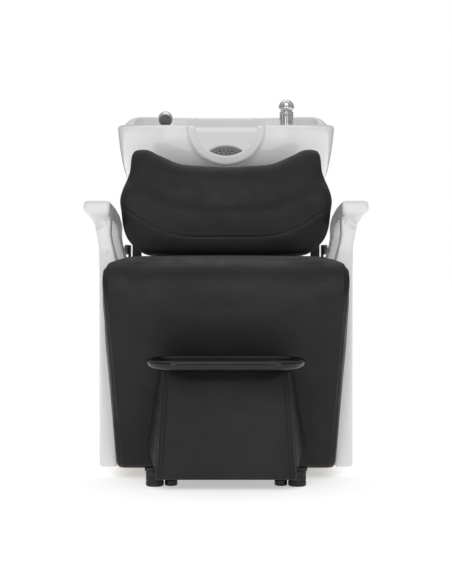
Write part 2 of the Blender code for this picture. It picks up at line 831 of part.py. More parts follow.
def make_clamp_lever():
    """The lever that clamps the pin: a hub on the pin's end, an arm and a knob."""
    start = EAR_X + EAR_THICK + RUN_GAP
    place, _ = along((start, TILT_Y, TILT_Z), (1.0, TILT_Y, TILT_Z))
    bore = PIN_RADIUS + RUN_GAP
    profile = [(bore, 0.0), (CLAMP_RADIUS, 0.0), (CLAMP_RADIUS, 0.010), (bore, 0.010)]
    lever = ring_turned("tilt_clamp_lever", profile, "black_gloss", place)
    tilt = math.radians(-24)
    way = Vector((0.0, math.cos(tilt), math.sin(tilt)))
    middle = Vector((start + 0.005, TILT_Y, TILT_Z))
    arm = rod("clamp_arm", middle + way * 0.0105, middle + way * 0.085, 0.0042, None, 12)
    knob_place, _ = along(middle + way * 0.078, middle + way)
    knob_profile = [(0.004, 0.0), (0.0080, 0.004), (0.0095, 0.012), (0.0080, 0.020), (0.004, 0.024)]
    knob = turned("clamp_knob", knob_profile, None, knob_place, 16)
    join(lever, arm, knob)
    return lever


def superellipse(half_x, half_y, power, angle):
    cosine = math.cos(angle)
    sine = math.sin(angle)
    x = half_x * math.copysign(abs(cosine) ** (2 / power), cosine)
    y = half_y * math.copysign(abs(sine) ** (2 / power), sine)
    return x, y


def rim_z(y):
    rise = RIM_RISE * smoothstep((y - RIM_RISE_Y) / RIM_RISE_LENGTH)
    return RIM_FRONT_Z + RIM_SLOPE * min(y - BOWL_FRONT_Y, 0.42) + rise


def basin_floor_z(y):
    floor = [(0.128, 0.752), (0.160, 0.736), (0.300, 0.712), (0.312, 0.718), (0.412, 0.817), (0.432, 0.828)]
    return blend_between(y, floor)


def bowl_under_z(y):
    under = [(BOWL_FRONT_Y, 0.734), (0.160, 0.718), (0.300, 0.688), (0.335, 0.698), (0.445, 0.818)]
    under += [(BACK_Y, 0.852)]
    return blend_between(y, under)


def dished(name, centre_y, half_x, half_y, power, low, high, material, count=48):
    """A body between two height functions over a rounded plan.

    low and high take (y, share), where share runs from 1 on the plan's edge to 0 in its middle.
    """
    shares = [1.0, 0.992, 0.975, 0.95, 0.91, 0.85, 0.76, 0.62, 0.42, 0.2]
    bm = bmesh.new()

    def ring(share, height):
        points = []
        for i in range(count):
            x, y = superellipse(half_x * share, half_y * share, power, 2 * math.pi * (i + 0.5) / count)
            y += centre_y
            points.append(bm.verts.new((x, y, height(y, share))))
        return points

    rows = [ring(share, high) for share in reversed(shares)] + [ring(share, low) for share in shares]
    for row, after in zip(rows, rows[1:]):
        for i in range(count):
            j = (i + 1) % count
            bm.faces.new((row[i], row[j], after[j], after[i]))
    for row, height in ((rows[0], high), (rows[-1], low)):
        middle = bm.verts.new((0.0, centre_y, height(centre_y, 0.0)))
        for i in range(count):
            bm.faces.new((middle, row[i], row[(i + 1) % count]))
    return named(name, bm, material, smooth=50)


def make_bowl():
    """The tilting basin: a dished body with a neck notch, a tap deck and a strainer seat."""
    centre_y = (BOWL_FRONT_Y + BACK_Y) / 2
    half_y = (BACK_Y - BOWL_FRONT_Y) / 2

    def outer_low(y, share):
        edge = rim_z(y) - RIM_BAND
        return bowl_under_z(y) + (edge - bowl_under_z(y)) * share**10

    bowl = dished(
        "bowl",
        centre_y,
        BOWL_HALF_X,
        half_y,
        3.8,
        outer_low,
        lambda y, share: rim_z(y),
        "white_ceramic",
        64,
    )
    front = BOWL_FRONT_Y + RIM_WIDTH
    basin = dished(
        "bowl_basin_cut",
        (front + BASIN_BACK_Y) / 2,
        BASIN_HALF_X,
        (BASIN_BACK_Y - front) / 2,
        3.2,
        lambda y, share: basin_floor_z(y) + (rim_z(y) - basin_floor_z(y)) * share**7,
        lambda y, share: 1.0,
        None,
        48,
    )
    deck_back = BACK_Y - RIM_WIDTH
    deck_half = (deck_back - DECK_FRONT_Y) / 2
    deck = dished(
        "bowl_deck_cut",
        (deck_back + DECK_FRONT_Y) / 2,
        BASIN_HALF_X,
        deck_half,
        2.6,
        lambda y, share: DECK_Z + 0.012 * share**28,
        lambda y, share: 1.0,
        None,
        48,
    )
    # The dished surfaces nearly touch along the deck's edge, where the EXACT solver loses the body.
    cut(bowl, basin, deck, solver="MANIFOLD")
    join(bowl, notch_lip(), solver="MANIFOLD")
    cut(bowl, notch_cutter(), *drain_cutters(), *tap_cutters(), solver="MANIFOLD")
    return bowl


def notch_outline(half, bottom, top):
    """A U with a half-ellipse at its foot; it runs anticlockwise in (x, z)."""
    depth = top - bottom
    steps = 14
    points = []
    for i in range(steps + 1):
        angle = math.pi + math.pi * i / steps
        points.append((half * math.cos(angle), top + depth * math.sin(angle)))
    return points


def notch_mapping(u, v, t):
    return Vector((u, t, v))


def notch_lip():
    """The rolled lip round the neck notch, proud of the bowl's front."""
    outer = notch_outline(NOTCH_HALF + LIP_WIDTH * 0.8, NOTCH_BOTTOM_Z - LIP_WIDTH, RIM_FRONT_Z - 0.0015)
    front = BOWL_FRONT_Y - LIP_PROUD + 0.002
    steps = [(front, 0.006), (front + 0.004, 0.001), (BOWL_FRONT_Y + RIM_WIDTH + 0.012, 0.0)]
    return prism("bowl_notch_lip", outer, steps, [], notch_mapping, None)


def notch_cutter():
    outline = notch_outline(NOTCH_HALF, NOTCH_BOTTOM_Z, RIM_FRONT_Z)
    outline += [(NOTCH_HALF, RIM_FRONT_Z + 0.1), (-NOTCH_HALF, RIM_FRONT_Z + 0.1)]
    steps = [(BOWL_FRONT_Y - 0.030, -0.006), (BOWL_FRONT_Y - 0.001, 0.0), (BOWL_FRONT_Y + 0.060, 0.0)]
    return prism("bowl_notch_cut", outline, steps, [], notch_mapping, None)


STRAINER_NORMAL = Vector((0.0, -math.sin(STRAINER_SLOPE), math.cos(STRAINER_SLOPE)))
STRAINER_CENTRE = Vector((0.0, STRAINER_Y, STRAINER_Z))


def drain_cutters():
    seat = STRAINER_CENTRE - STRAINER_NORMAL * (STRAINER_THICK + FIT_GAP)
    pocket = rod(
        "strainer_seat_cut",
        seat,
        seat + STRAINER_NORMAL * 0.060,
        STRAINER_RADIUS + 0.0015,
        None,
        40,
    )
    sump = rod("sump_cut", seat - STRAINER_NORMAL * 0.012, seat + STRAINER_NORMAL * 0.002, 0.034, None, 28)
    hole = rod(
        "drain_cut",
        (0.0, DRAIN_Y, 0.650),
        (0.0, DRAIN_Y, 0.752),
        DRAIN_RADIUS + 2 * FIT_GAP,
        None,
        24,
    )
    return pocket, sump, hole


def tap_cutters():
    holes = []
    for side, sign in SIDES:
        hole = rod(
            f"tap_hole_cut_{side}",
            (sign * TAP_X, TAP_Y, 0.700),
            (sign * TAP_X, TAP_Y, DECK_Z + 0.020),
            TAP_HOLE + FIT_GAP,
            None,
            24,
        )
        holes.append(hole)
    return holes


def make_strainer():
    """A slotted hair strainer in its seat on the sloping back of the basin."""
    low = STRAINER_CENTRE - STRAINER_NORMAL * STRAINER_THICK
    place, _ = along(low, low + STRAINER_NORMAL)
    radius = STRAINER_RADIUS
    profile = [(radius - 0.001, 0.0), (radius, 0.001), (radius, 0.003), (radius - 0.003, STRAINER_THICK)]
    strainer = turned("strainer", profile, "grey_plastic", place, 40)
    for i in range(5):
        x = (i - 2) * 0.014
        half = 0.030 - abs(i - 2) * 0.004
        slot = block(f"strainer_slot_{i}", (x - 0.002, -half, -0.01), (x + 0.002, half, 0.02), None)
        slot.matrix_world = place @ slot.matrix_world
        cut(strainer, slot)
    return strainer


def make_drain():
    """The tailpiece in the bowl's outlet and the bottle trap that hangs on it."""
    top = 0.712
    outer = DRAIN_RADIUS
    inner = outer - 0.003
    flange_z = 0.676
    join_z = 0.604
    place = Matrix.Translation((0.0, DRAIN_Y, 0.0))
    profile = [
        (inner, join_z),
        (outer, join_z),
        (outer, flange_z),
        (outer + 0.010, flange_z),
        (outer + 0.010, flange_z + 0.006),
        (outer, flange_z + 0.006),
        (outer, top),
        (inner, top),
    ]
    tail = ring_turned("drain_tailpiece", profile, "white_pipe", place)
    trap_top = join_z - FIT_GAP
    bottom = trap_top - 0.100
    body = [
        (0.020, bottom),
        (0.026, bottom + 0.006),
        (0.026, bottom + 0.030),
        (0.030, bottom + 0.034),
        (0.030, trap_top - 0.020),
        (0.022, trap_top - 0.012),
        (0.022, trap_top),
    ]
    trap = turned("bottle_trap", body, "white_pipe", place)
    outlet_z = bottom + 0.060
    outlet = rod(
        "trap_outlet",
        (0.0, DRAIN_Y + 0.020, outlet_z),
        (0.0, DRAIN_Y + 0.062, outlet_z),
        0.016,
        None,
    )
    join(trap, outlet)
    inlet_bore = rod(
        "trap_inlet_bore",
        (0.0, DRAIN_Y, trap_top - 0.050),
        (0.0, DRAIN_Y, trap_top + 0.01),
        inner,
        None,
    )
    outlet_bore = rod(
        "trap_outlet_bore",
        (0.0, DRAIN_Y, outlet_z),
        (0.0, DRAIN_Y + 0.070, outlet_z),
        0.012,
        None,
    )
    cut(trap, inlet_bore, outlet_bore)
    return tail, trap


def sphere_profile(radius, low, high, steps, centre=0.0):
    """(radius, height) pairs of a ball between two heights measured from its centre."""
    first = math.asin(low / radius)
    last = math.asin(high / radius)
    turns = [first + (last - first) * i / steps for i in range(steps + 1)]
    return [(max(radius * math.cos(a), 1e-4), centre + radius * math.sin(a)) for a in turns]


def make_mixer():
    """The single-lever mixer on the right of the deck."""
    place = Matrix.Translation((TAP_X, TAP_Y, 0.0))
    shoulder = LEVER_CENTRE_Z - 0.012
    flange_low = DECK_Z + FIT_GAP
    under = bowl_under_z(TAP_Y) - 0.030
    body = turned(
        "mixer_body",
        [
            (TAP_HOLE, under),
            (TAP_HOLE, flange_low),
            (0.026, flange_low),
            (0.026, flange_low + 0.003),
            (0.0215, flange_low + 0.006),
            (MIXER_RADIUS, flange_low + 0.007),
            (MIXER_RADIUS, shoulder - 0.002),
            (MIXER_RADIUS - 0.0015, shoulder),
        ],
        "chrome",
        place,
        32,
    )
    nut_top = bowl_under_z(TAP_Y - 0.030) - 0.004
    nut_outer = 0.026
    nut_inner = TAP_HOLE + 2 * FIT_GAP
    nut_low = nut_top - 0.010
    profile = [(nut_inner, nut_low), (nut_outer, nut_low), (nut_outer, nut_top), (nut_inner, nut_top)]
    nuts = []
    for nut, sign in (("shower_lock_nut", -1), ("mixer_lock_nut", 1)):
        spot = Matrix.Translation((sign * TAP_X, TAP_Y, 0.0))
        nuts.append(ring_turned(nut, profile, "bare_steel", spot))
    centre = LEVER_CENTRE_Z
    hub_profile = sphere_profile(HUB_RADIUS, shoulder + FIT_GAP - centre, 0.010, 7, centre)
    hub = turned("mixer_hub", hub_profile, "chrome", place, 28)
    dome = sphere_profile(LEVER_RADIUS, -0.003, LEVER_RADIUS, 8, centre)
    lever = turned("mixer_lever", dome, "chrome", place, 32)
    blade = block(
        "lever_blade",
        (TAP_X - 0.006, TAP_Y + 0.010, centre + 0.004),
        (TAP_X + 0.006, TAP_Y + 0.062, centre + 0.011),
        None,
        0.002,
    )
    socket_radius = HUB_RADIUS + RUN_GAP
    socket_profile = sphere_profile(socket_radius, -0.016, socket_radius, 10, centre)
    socket = turned("lever_socket_cut", socket_profile, None, place, 28)
    join(lever, blade)
    cut(lever, socket)
    pin_reach = 0.0215
    ends = ((TAP_X - pin_reach, TAP_Y, centre), (TAP_X + pin_reach, TAP_Y, centre))
    pin = rod("mixer_lever_pin", *ends, 0.0018, "bare_steel", 12)
    far = ((TAP_X - 0.04, TAP_Y, centre), (TAP_X + 0.04, TAP_Y, centre))
    cut(hub, rod("hub_pin_hole", *far, 0.0018 + FIT_GAP, None, 12))
    cut(lever, rod("lever_pin_hole", *far, 0.0018 + RUN_GAP, None, 12))
    return body, nuts, hub, lever, pin


def make_shower():
    """The hand shower that stands in a sleeve on the left of the deck."""
    x = -TAP_X
    place = Matrix.Translation((x, TAP_Y, 0.0))
    flange_low = DECK_Z + FIT_GAP
    bore = SHOWER_HANDLE + RUN_GAP
    under = bowl_under_z(TAP_Y) - 0.030
    profile = [
        (bore, under),
        (TAP_HOLE, under),
        (TAP_HOLE, flange_low),
        (0.024, flange_low),
        (0.024, flange_low + 0.003),
        (0.0175, flange_low + 0.006),
        (bore, flange_low + 0.006),
    ]
    holder = ring_turned("shower_holder", profile, "chrome", place)
    head_tilt = math.radians(52)
    head_way = Vector((0.0, -math.sin(head_tilt), -math.cos(head_tilt)))
    neck = Vector((x, TAP_Y, 0.902))
    head_place, _ = along(neck - head_way * 0.014, neck + head_way)
    crown = [
        (0.006, 0.0),
        (0.0135, 0.0025),
        (0.0180, 0.007),
        (SHOWER_RADIUS, 0.014),
        (SHOWER_RADIUS, 0.024),
        (SHOWER_RADIUS - 0.001, 0.026),
    ]
    handle = turned(
        "hand_shower",
        [
            (SHOWER_HANDLE - 0.003, under - 0.020),
            (SHOWER_HANDLE, under - 0.014),
            (SHOWER_HANDLE, flange_low + 0.008),
            (SHOWER_HANDLE, neck.z - 0.006),
            (0.004, neck.z - 0.002),
        ],
        "chrome",
        place,
    )
    join(handle, turned("shower_crown", crown, None, head_place, 28))
    seat_radius = SHOWER_RADIUS - 0.0020
    seat_low = 0.0235
    recess = [(seat_radius + FIT_GAP, seat_low), (seat_radius + FIT_GAP, 0.040)]
    cut(handle, turned("spray_recess_cut", recess, None, head_place, 28))
    face_profile = [
        (seat_radius, seat_low + FIT_GAP),
        (seat_radius, 0.0262),
        (seat_radius - 0.0015, 0.0275),
    ]
    face = turned("spray_face", face_profile, "grey_plastic", head_place, 28)
    return holder, handle, face


def main():
    clear_scene()
    make_base()
    make_seat_box()
    make_seat_cushion()
    make_side_shells()
    make_backrest()
    make_footrest()
    make_column()
    _, cradle, bushes = make_tilt_joint()
    clamp = make_clamp_lever()
    bowl = make_bowl()
    strainer = make_strainer()
    tail, trap = make_drain()
    body, nuts, hub, lever, pin = make_mixer()
    holder, handset, face = make_shower()
    hang([cradle, *bushes, bowl, tail, trap, body, *nuts, holder], "bowl_tilt_axis", (0, TILT_Y, TILT_Z))
    hang([clamp], "clamp_axis", (EAR_X + EAR_THICK, TILT_Y, TILT_Z))
    hang([strainer], "strainer_axis", STRAINER_CENTRE)
    hang([hub, pin], "mixer_turn_axis", (TAP_X, TAP_Y, DECK_Z))
    hang([lever], "mixer_lift_axis", (TAP_X, TAP_Y, LEVER_CENTRE_Z))
    hang([handset, face], "shower_axis", (-TAP_X, TAP_Y, DECK_Z))


main()
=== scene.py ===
"""Shampoo backwash unit: upholstery, mouldings, basin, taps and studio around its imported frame."""

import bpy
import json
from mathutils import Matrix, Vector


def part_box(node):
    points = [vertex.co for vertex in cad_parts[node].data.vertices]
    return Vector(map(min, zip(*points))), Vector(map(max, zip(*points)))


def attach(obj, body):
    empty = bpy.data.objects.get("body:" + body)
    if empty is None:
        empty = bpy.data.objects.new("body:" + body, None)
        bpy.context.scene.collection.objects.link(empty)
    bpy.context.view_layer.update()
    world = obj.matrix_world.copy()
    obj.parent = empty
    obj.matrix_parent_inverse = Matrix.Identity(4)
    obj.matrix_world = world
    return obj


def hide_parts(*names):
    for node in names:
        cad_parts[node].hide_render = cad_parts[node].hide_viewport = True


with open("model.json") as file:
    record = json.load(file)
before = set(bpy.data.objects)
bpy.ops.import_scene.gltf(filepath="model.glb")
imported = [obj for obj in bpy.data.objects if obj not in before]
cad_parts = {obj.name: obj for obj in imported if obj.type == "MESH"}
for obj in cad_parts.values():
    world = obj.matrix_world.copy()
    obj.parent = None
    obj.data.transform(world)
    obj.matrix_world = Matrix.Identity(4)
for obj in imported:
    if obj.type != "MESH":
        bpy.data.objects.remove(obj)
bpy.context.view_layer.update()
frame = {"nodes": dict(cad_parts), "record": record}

import json
import math

import bmesh
import bpy
import numpy as np
from bpy.props import FloatProperty, FloatVectorProperty, PointerProperty
from mathutils import Matrix, Vector
from mathutils.bvhtree import BVHTree

bl_info = {
    "name": "Shampoo backwash unit",
    "version": (1, 0, 0),
    "blender": (4, 5, 0),
    "location": "3D View > Sidebar > Backwash",
    "description": "Builds the upholstery, mouldings, basin and taps of a salon backwash unit",
    "category": "Add Mesh",
}

SIDES = (("left", -1), ("right", 1))
GAP = 0.0003

# Seat
SEAT_TOP = 0.4955
SEAT_UNDER = 0.4188
SEAT_HALF = 0.243
SEAT_SLACK = 0.002
SEAT_BACK = -0.012
SEAT_REAR_RADIUS = 0.022
APRON_REAR = -0.3525
APRON_FOOT = 0.020
APRON_HEM = [(0.0215, 0.016), (0.0235, 0.009), (0.029, 0.003), (0.038, 0.0)]
KNEE_RADIUS = 0.0855
KNEE_CENTRE = (-0.3695, 0.410)
APRON_FRONT = [(0.020, -0.397), (0.200, -0.424), (0.410, -0.455)]
APRON_HALF = [
    (0.020, 0.250),
    (0.400, 0.2785),
    (0.430, 0.2800),
    (0.455, 0.2820),
    (0.477, 0.2820),
    (0.485, 0.2805),
    (0.490, 0.2760),
    (0.4935, 0.2700),
    (0.4955, 0.2640),
]
TUNNEL_HALF = 0.141
TUNNEL_TOP = 0.0739
TUNNEL_SLACK = 0.002
TUNNEL_CUT = 0.2

# Backrest
BACK_FOOT = 0.4985
BACK_LEAN_Y = -0.092
BACK_CURVE = 1.6
BACK_THICK = 0.085
BACK_THIN = 0.10
BACK_STEPS = [
    (0.0, 0.015),
    (0.03, 0.008),
    (0.09, 0.003),
    (0.20, 0.0),
    (0.80, 0.0),
    (0.93, 0.004),
    (1.0, 0.012),
]
BACK_OUTLINE = [
    (0.0, 0.4985),
    (0.075, 0.4985),
    (0.150, 0.4990),
    (0.198, 0.5030),
    (0.221, 0.5160),
    (0.244, 0.5390),
    (0.2565, 0.5710),
    (0.262, 0.6080),
    (0.266, 0.6410),
    (0.259, 0.6710),
    (0.2445, 0.7100),
    (0.242, 0.7450),
    (0.239, 0.7630),
    (0.228, 0.7740),
    (0.197, 0.7740),
    (0.159, 0.7550),
    (0.116, 0.7370),
    (0.064, 0.7315),
    (0.0, 0.7290),
]
FOLD_LINE = [(0.0, 0.632), (0.0624, 0.636), (0.132, 0.648), (0.18, 0.672), (0.236, 0.694)]
SEAM_LINE = [(0.0, 0.548), (0.108, 0.5505), (0.154, 0.562), (0.20, 0.585), (0.2515, 0.617)]

# Footrest
FOOTREST_FRONT = -0.562
FOOTREST_LEAN = 0.042
FOOTREST_PAD = 0.028
FOOTREST_HALF_FOOT = 0.152
FOOTREST_HALF_TOP = 0.139
FOOTREST_TOP = 0.2555
FOOTREST_WALL = 0.010
FOOTREST_SIDE_LOW = 0.031
FOOTREST_REAR_LOW = (0.177, 0.076)
FOOTREST_REAR_HALF = 0.147
TRAY_HALF = 0.169
TRAY_RADIUS = 0.069
TRAY_THICK = 0.021
TRAY_TILT = math.radians(1.7)

# Side shells
SHELL_INNER = 0.246
SHELL_FRONT = -0.351
SHELL_BACK = 0.100
SHELL_WAIST = 0.450
ARM_INNER = 0.267
ARM_BLEND = 0.11
SHELL_OUTER_LINE = [
    (0.450, 0.2880),
    (0.521, 0.2930),
    (0.574, 0.3045),
    (0.591, 0.3160),
    (0.604, 0.3280),
    (0.6265, 0.3280),
]
ARM_LOOP = [
    (-0.215, 0.460),
    (-0.010, 0.460),
    (0.020, 0.490),
    (0.016, 0.540),
    (-0.010, 0.560),
    (-0.120, 0.578),
    (-0.205, 0.583),
    (-0.235, 0.560),
    (-0.240, 0.500),
]

# Basin
BOWL_HALF_X = 0.2945
BOWL_HALF_Y = 0.250
BOWL_FRONT = 0.110
BOWL_CENTRE_Y = 0.360
BASIN_HALF_X = 0.262
BASIN_FRONT = 0.130
BASIN_BACK = 0.432
DECK_Z = 0.873
DECK_FRONT = 0.395
DECK_BACK = 0.590
NOTCH_HALF = 0.081
NOTCH_BOTTOM = 0.7635
RIM_FRONT_Z = 0.844
RIM_BAND = 0.016
RIM_SLOPE = 0.097
RIM_SLOPE_RUN = 0.42
RIM_RISE = 0.0305
RIM_RISE_START = 0.430
RIM_RISE_RUN = 0.140
LIP_WIDTH = 0.0192
LIP_DEPTH = 0.024
LIP_FRONT = 0.102
LIP_BACK = 0.142
LIP_SOFT = 0.003
DISH_SHARES = [1.0, 0.996, 0.99, 0.98, 0.965, 0.95, 0.93, 0.91, 0.88, 0.85]
DISH_SHARES += [0.81, 0.76, 0.69, 0.62, 0.52, 0.42, 0.3, 0.18, 0.08]
BASIN_FLOOR = [
    (0.128, 0.752),
    (0.160, 0.736),
    (0.300, 0.712),
    (0.312, 0.718),
    (0.412, 0.817),
    (0.432, 0.828),
]
BOWL_UNDER = [
    (0.110, 0.734),
    (0.160, 0.718),
    (0.300, 0.688),
    (0.335, 0.698),
    (0.445, 0.818),
    (0.610, 0.852),
]
STRAINER_CENTRE = Vector((0.0, 0.360, 0.7655))
STRAINER_NORMAL = Vector((0.0, -math.sqrt(0.5), math.sqrt(0.5)))
STRAINER_RADIUS = 0.065
STRAINER_ROWS = ((0.048, 26), (0.037, 20), (0.026, 14), (0.014, 7))
STRAINER_HOLE = 0.0030
TAP_X = 0.173
TAP_Y = 0.470
TAP_SHANK = 0.016
TAP_HOLE = 0.0163
TAP_HOLE_SLACK = 0.002
LEVER_Z = 0.932
HUB_RADIUS = 0.0185
DOME_RADIUS = 0.022
SOCKET_RADIUS = 0.019
BLADE_RADIUS = 0.0036
BLADE_WIDENING = 1.6

# Feet, as shares of their radius and height
FOOT_RIBS = [(0.86, 0.0), (0.97, 0.04), (1.0, 0.12), (1.0, 0.30), (0.95, 0.34), (0.95, 0.38)]
FOOT_RIBS += [(1.0, 0.42), (1.0, 0.60), (0.95, 0.64), (0.95, 0.68), (1.0, 0.72), (1.0, 0.94), (0.95, 1.0)]
GLIDE_TURNING = [(0.80, 0.0), (0.96, 0.03), (1.0, 0.10), (1.0, 0.34), (0.90, 0.42), (0.62, 0.48)]
GLIDE_TURNING += [(0.62, 0.62), (0.55, 0.66), (0.55, 0.94), (0.50, 1.0)]


def smoothstep(value):
    value = np.clip(value, 0.0, 1.0)
    return value * value * (3 - 2 * value)


def line_at(value, points):
    """The height of a line through (x, y) pairs."""
    places, heights = zip(*points)
    return np.interp(value, places, heights)


def ridge(distance, height, width):
    """A rounded ridge along a line, or a groove where its height is negative."""
    return height * np.exp(-((distance / width) ** 2))


def even_curve(points, value):
    """A smooth symmetric curve fitted to (x, y) pairs."""
    places, heights = (np.array(row) for row in zip(*points))
    return np.polyval(np.polyfit(places**2, heights, 3), np.asarray(value) ** 2)


def arc(centre, radius, start, end, steps):
    """Points of an arc in degrees."""
    angles = [math.radians(start + (end - start) * i / steps) for i in range(steps + 1)]
    return [(centre[0] + radius * math.cos(a), centre[1] + radius * math.sin(a)) for a in angles]


def mirrored(half):
    return half + [(-u, v) for u, v in reversed(half) if u > 0]


def rounded(points, steps):
    """A closed outline drawn smoothly through its points."""
    count = len(points)
    found = []
    for i in range(count):
        before, here, after, beyond = (Vector(points[(i + k) % count]) for k in (-1, 0, 1, 2))
        for step in range(steps):
            t = step / steps
            bend = 2 * here + (after - before) * t
            bend += (2 * before - 5 * here + 4 * after - beyond) * t**2
            bend += (3 * here - before - 3 * after + beyond) * t**3
            found.append(bend / 2)
    return found


def inset(outline, distance, evened=0):
    """An anticlockwise outline moved inwards, then evened so that tight corners don't fold over."""
    moved = []
    for i, point in enumerate(outline):
        here = Vector(point)
        before = here - Vector(outline[i - 1])
        after = Vector(outline[(i + 1) % len(outline)]) - here
        normals = [Vector((-edge.y, edge.x)).normalized() for edge in (before, after)]
        middle = (normals[0] + normals[1]).normalized()
        moved.append(here + middle * (distance / max(middle.dot(normals[0]), 0.5)))
    for _ in range(evened):
        moved = [(moved[i - 1] + p * 2 + moved[(i + 1) % len(moved)]) / 4 for i, p in enumerate(moved)]
    return moved


def loft(rings, ends=True):
    """A closed mesh through rings of equal length."""
    bm = bmesh.new()
    rows = [[bm.verts.new(point) for point in ring] for ring in rings]
    count = len(rows[0])
    for row, after in zip(rows, rows[1:]):
        for i in range(count):
            j = (i + 1) % count
            bm.faces.new((row[i], row[j], after[j], after[i]))
    if ends:
        caps = [bm.faces.new(list(reversed(rows[0]))), bm.faces.new(rows[-1])]
        bmesh.ops.triangulate(bm, faces=caps)
    bmesh.ops.recalc_face_normals(bm, faces=bm.faces)
    return bm


def solid(name, bm, place=None):
    """An object from a closed mesh, its faces turned outwards."""
    if place is not None:
        bm.transform(place)
    if bm.calc_volume(signed=True) < 0:
        bmesh.ops.reverse_faces(bm, faces=bm.faces)
    mesh = bpy.data.meshes.new(name)
    bm.to_mesh(mesh)
    bm.free()
    obj = bpy.data.objects.new(name, mesh)
    bpy.context.scene.collection.objects.link(obj)
    return obj


def prism(name, outline, steps, mapping, evened=0, levels=()):
    """A solid on an outline in (u, v), bent into place by a mapping of (u, v, depth).

    steps gives (depth, inset) pairs, and levels the values of v at which its faces are divided,
    so that they follow a curved mapping.
    """
    rings = []
    for depth, distance in steps:
        ring = inset(outline, distance, evened if distance > 0.01 else 0)
        rings.append([Vector((p[0], p[1], depth)) for p in ring])
    bm = loft(rings)
    for level in levels:
        geometry = bm.verts[:] + bm.edges[:] + bm.faces[:]
        bmesh.ops.bisect_plane(bm, geom=geometry, dist=1e-6, plane_co=(0, level, 0), plane_no=(0, 1, 0))
    for vert in bm.verts:
        vert.co = mapping(*vert.co)
    return solid(name, bm)


def circle(radius, count, height=0.0):
    turn = 2 * math.pi / count
    angles = [i * turn for i in range(count)]
    return [Vector((radius * math.cos(a), radius * math.sin(a), height)) for a in angles]


def along(start, end):
    """The placing at start whose Z points at end."""
    way = Vector(end) - Vector(start)
    return Matrix.Translation(Vector(start)) @ way.to_track_quat("Z", "Y").to_matrix().to_4x4()


def turned(name, profile, place=None, count=72, hollow=False):
    """A body turned about Z from (radius, height) pairs; a hollow profile is a closed loop."""
    rings = [circle(radius, count, height) for radius, height in profile]
    if not hollow:
        return solid(name, loft(rings), place)
    bm = loft(rings + rings[:1], ends=False)
    bmesh.ops.remove_doubles(bm, verts=bm.verts, dist=1e-7)
    bmesh.ops.recalc_face_normals(bm, faces=bm.faces)
    return solid(name, bm, place)


def rod(name, start, end, radius, count=24):
    """A round bar with softened ends."""
    length = (Vector(end) - Vector(start)).length
    soft = min(radius * 0.3, length * 0.2)
    profile = [(radius - soft, 0.0), (radius, soft), (radius, length - soft), (radius - soft, length)]
    return turned(name, profile, along(start, end), count)


def softened(profile, radius, steps=3):
    """A turned profile with each inner corner rounded to about the given radius."""
    found = [profile[0]]
    for before, here, after in zip(profile, profile[1:], profile[2:]):
        corner, towards, beyond = Vector(here), Vector(before), Vector(after)
        reach = min(radius, (towards - corner).length * 0.45, (beyond - corner).length * 0.45)
        start = corner + (towards - corner).normalized() * reach
        end = corner + (beyond - corner).normalized() * reach
        for step in range(steps + 1):
            t = step / steps
            point = start * (1 - t) ** 2 + corner * 2 * t * (1 - t) + end * t**2
            found.append((point.x, point.y))
    return found + [profile[-1]]


def ball(name, centre, radii):
    bm = bmesh.new()
    scale = Matrix.Diagonal((*radii, 1.0))
    bmesh.ops.create_uvsphere(bm, u_segments=32, v_segments=16, radius=1.0, matrix=scale)
    return solid(name, bm, Matrix.Translation(centre))


def block(name, centre, size):
    bm = bmesh.new()
    bmesh.ops.create_cube(bm, size=1.0, matrix=Matrix.Diagonal((*size, 1.0)))
    return solid(name, bm, Matrix.Translation(centre))


def settle(obj):
    """Writes the modifiers of a piece into its mesh."""
    bpy.context.view_layer.update()
    graph = bpy.context.evaluated_depsgraph_get()
    mesh = bpy.data.meshes.new_from_object(obj.evaluated_get(graph), depsgraph=graph)
    old = obj.data
    obj.modifiers.clear()
    obj.data = mesh
    bpy.data.meshes.remove(old)
    return obj


def combine(obj, operation, *others):
    for other in others:
        tool = obj.modifiers.new(operation.lower(), "BOOLEAN")
        tool.operation = operation
        tool.solver = "MANIFOLD"
        tool.object = other
        settle(obj)
        bpy.data.objects.remove(other)
    return obj


def cut(obj, *others):
    return combine(obj, "DIFFERENCE", *others)


def join(obj, *others):
    return combine(obj, "UNION", *others)


def even_cells(obj, size):
    """Covers a solid with an even net of small faces, which later steps can bend."""
    net = obj.modifiers.new("even_cells", "REMESH")
    net.mode = "VOXEL"
    net.voxel_size = size
    return settle(obj)


def relax(obj, times, factor=0.5):
    """Rounds every edge a little, as a mould or a glaze does."""
    rounding = obj.modifiers.new("rounding", "SMOOTH")
    rounding.factor = factor
    rounding.iterations = times
    return settle(obj)


def subdivide(obj):
    finer = obj.modifiers.new("finer", "SUBSURF")
    finer.levels = 1
    finer.render_levels = 1
    return settle(obj)


def points_of(obj):
    points = np.empty(len(obj.data.vertices) * 3)
    obj.data.vertices.foreach_get("co", points)
    return points.reshape(-1, 3)


def normals_of(obj):
    normals = np.empty(len(obj.data.vertices) * 3, np.float32)
    obj.data.vertex_normals.foreach_get("vector", normals)
    return normals.reshape(-1, 3)


def place_points(obj, points):
    obj.data.vertices.foreach_set("co", np.asarray(points, np.float32).ravel())
    obj.data.update()


def evened_moves(obj, moves, times):
    """Spreads each point's move over its neighbours, so that the cloth shows no creases."""
    ends = np.empty(len(obj.data.edges) * 2, np.int64)
    obj.data.edges.foreach_get("vertices", ends)
    first, second = ends.reshape(-1, 2).T
    count = len(moves)
    links = np.bincount(first, minlength=count) + np.bincount(second, minlength=count)
    for _ in range(times):
        around = np.empty_like(moves)
        for axis in range(3):
            from_second = np.bincount(first, moves[second, axis], count)
            from_first = np.bincount(second, moves[first, axis], count)
            around[:, axis] = from_second + from_first
        moves = (moves + around / links[:, None]) / 2
    return moves


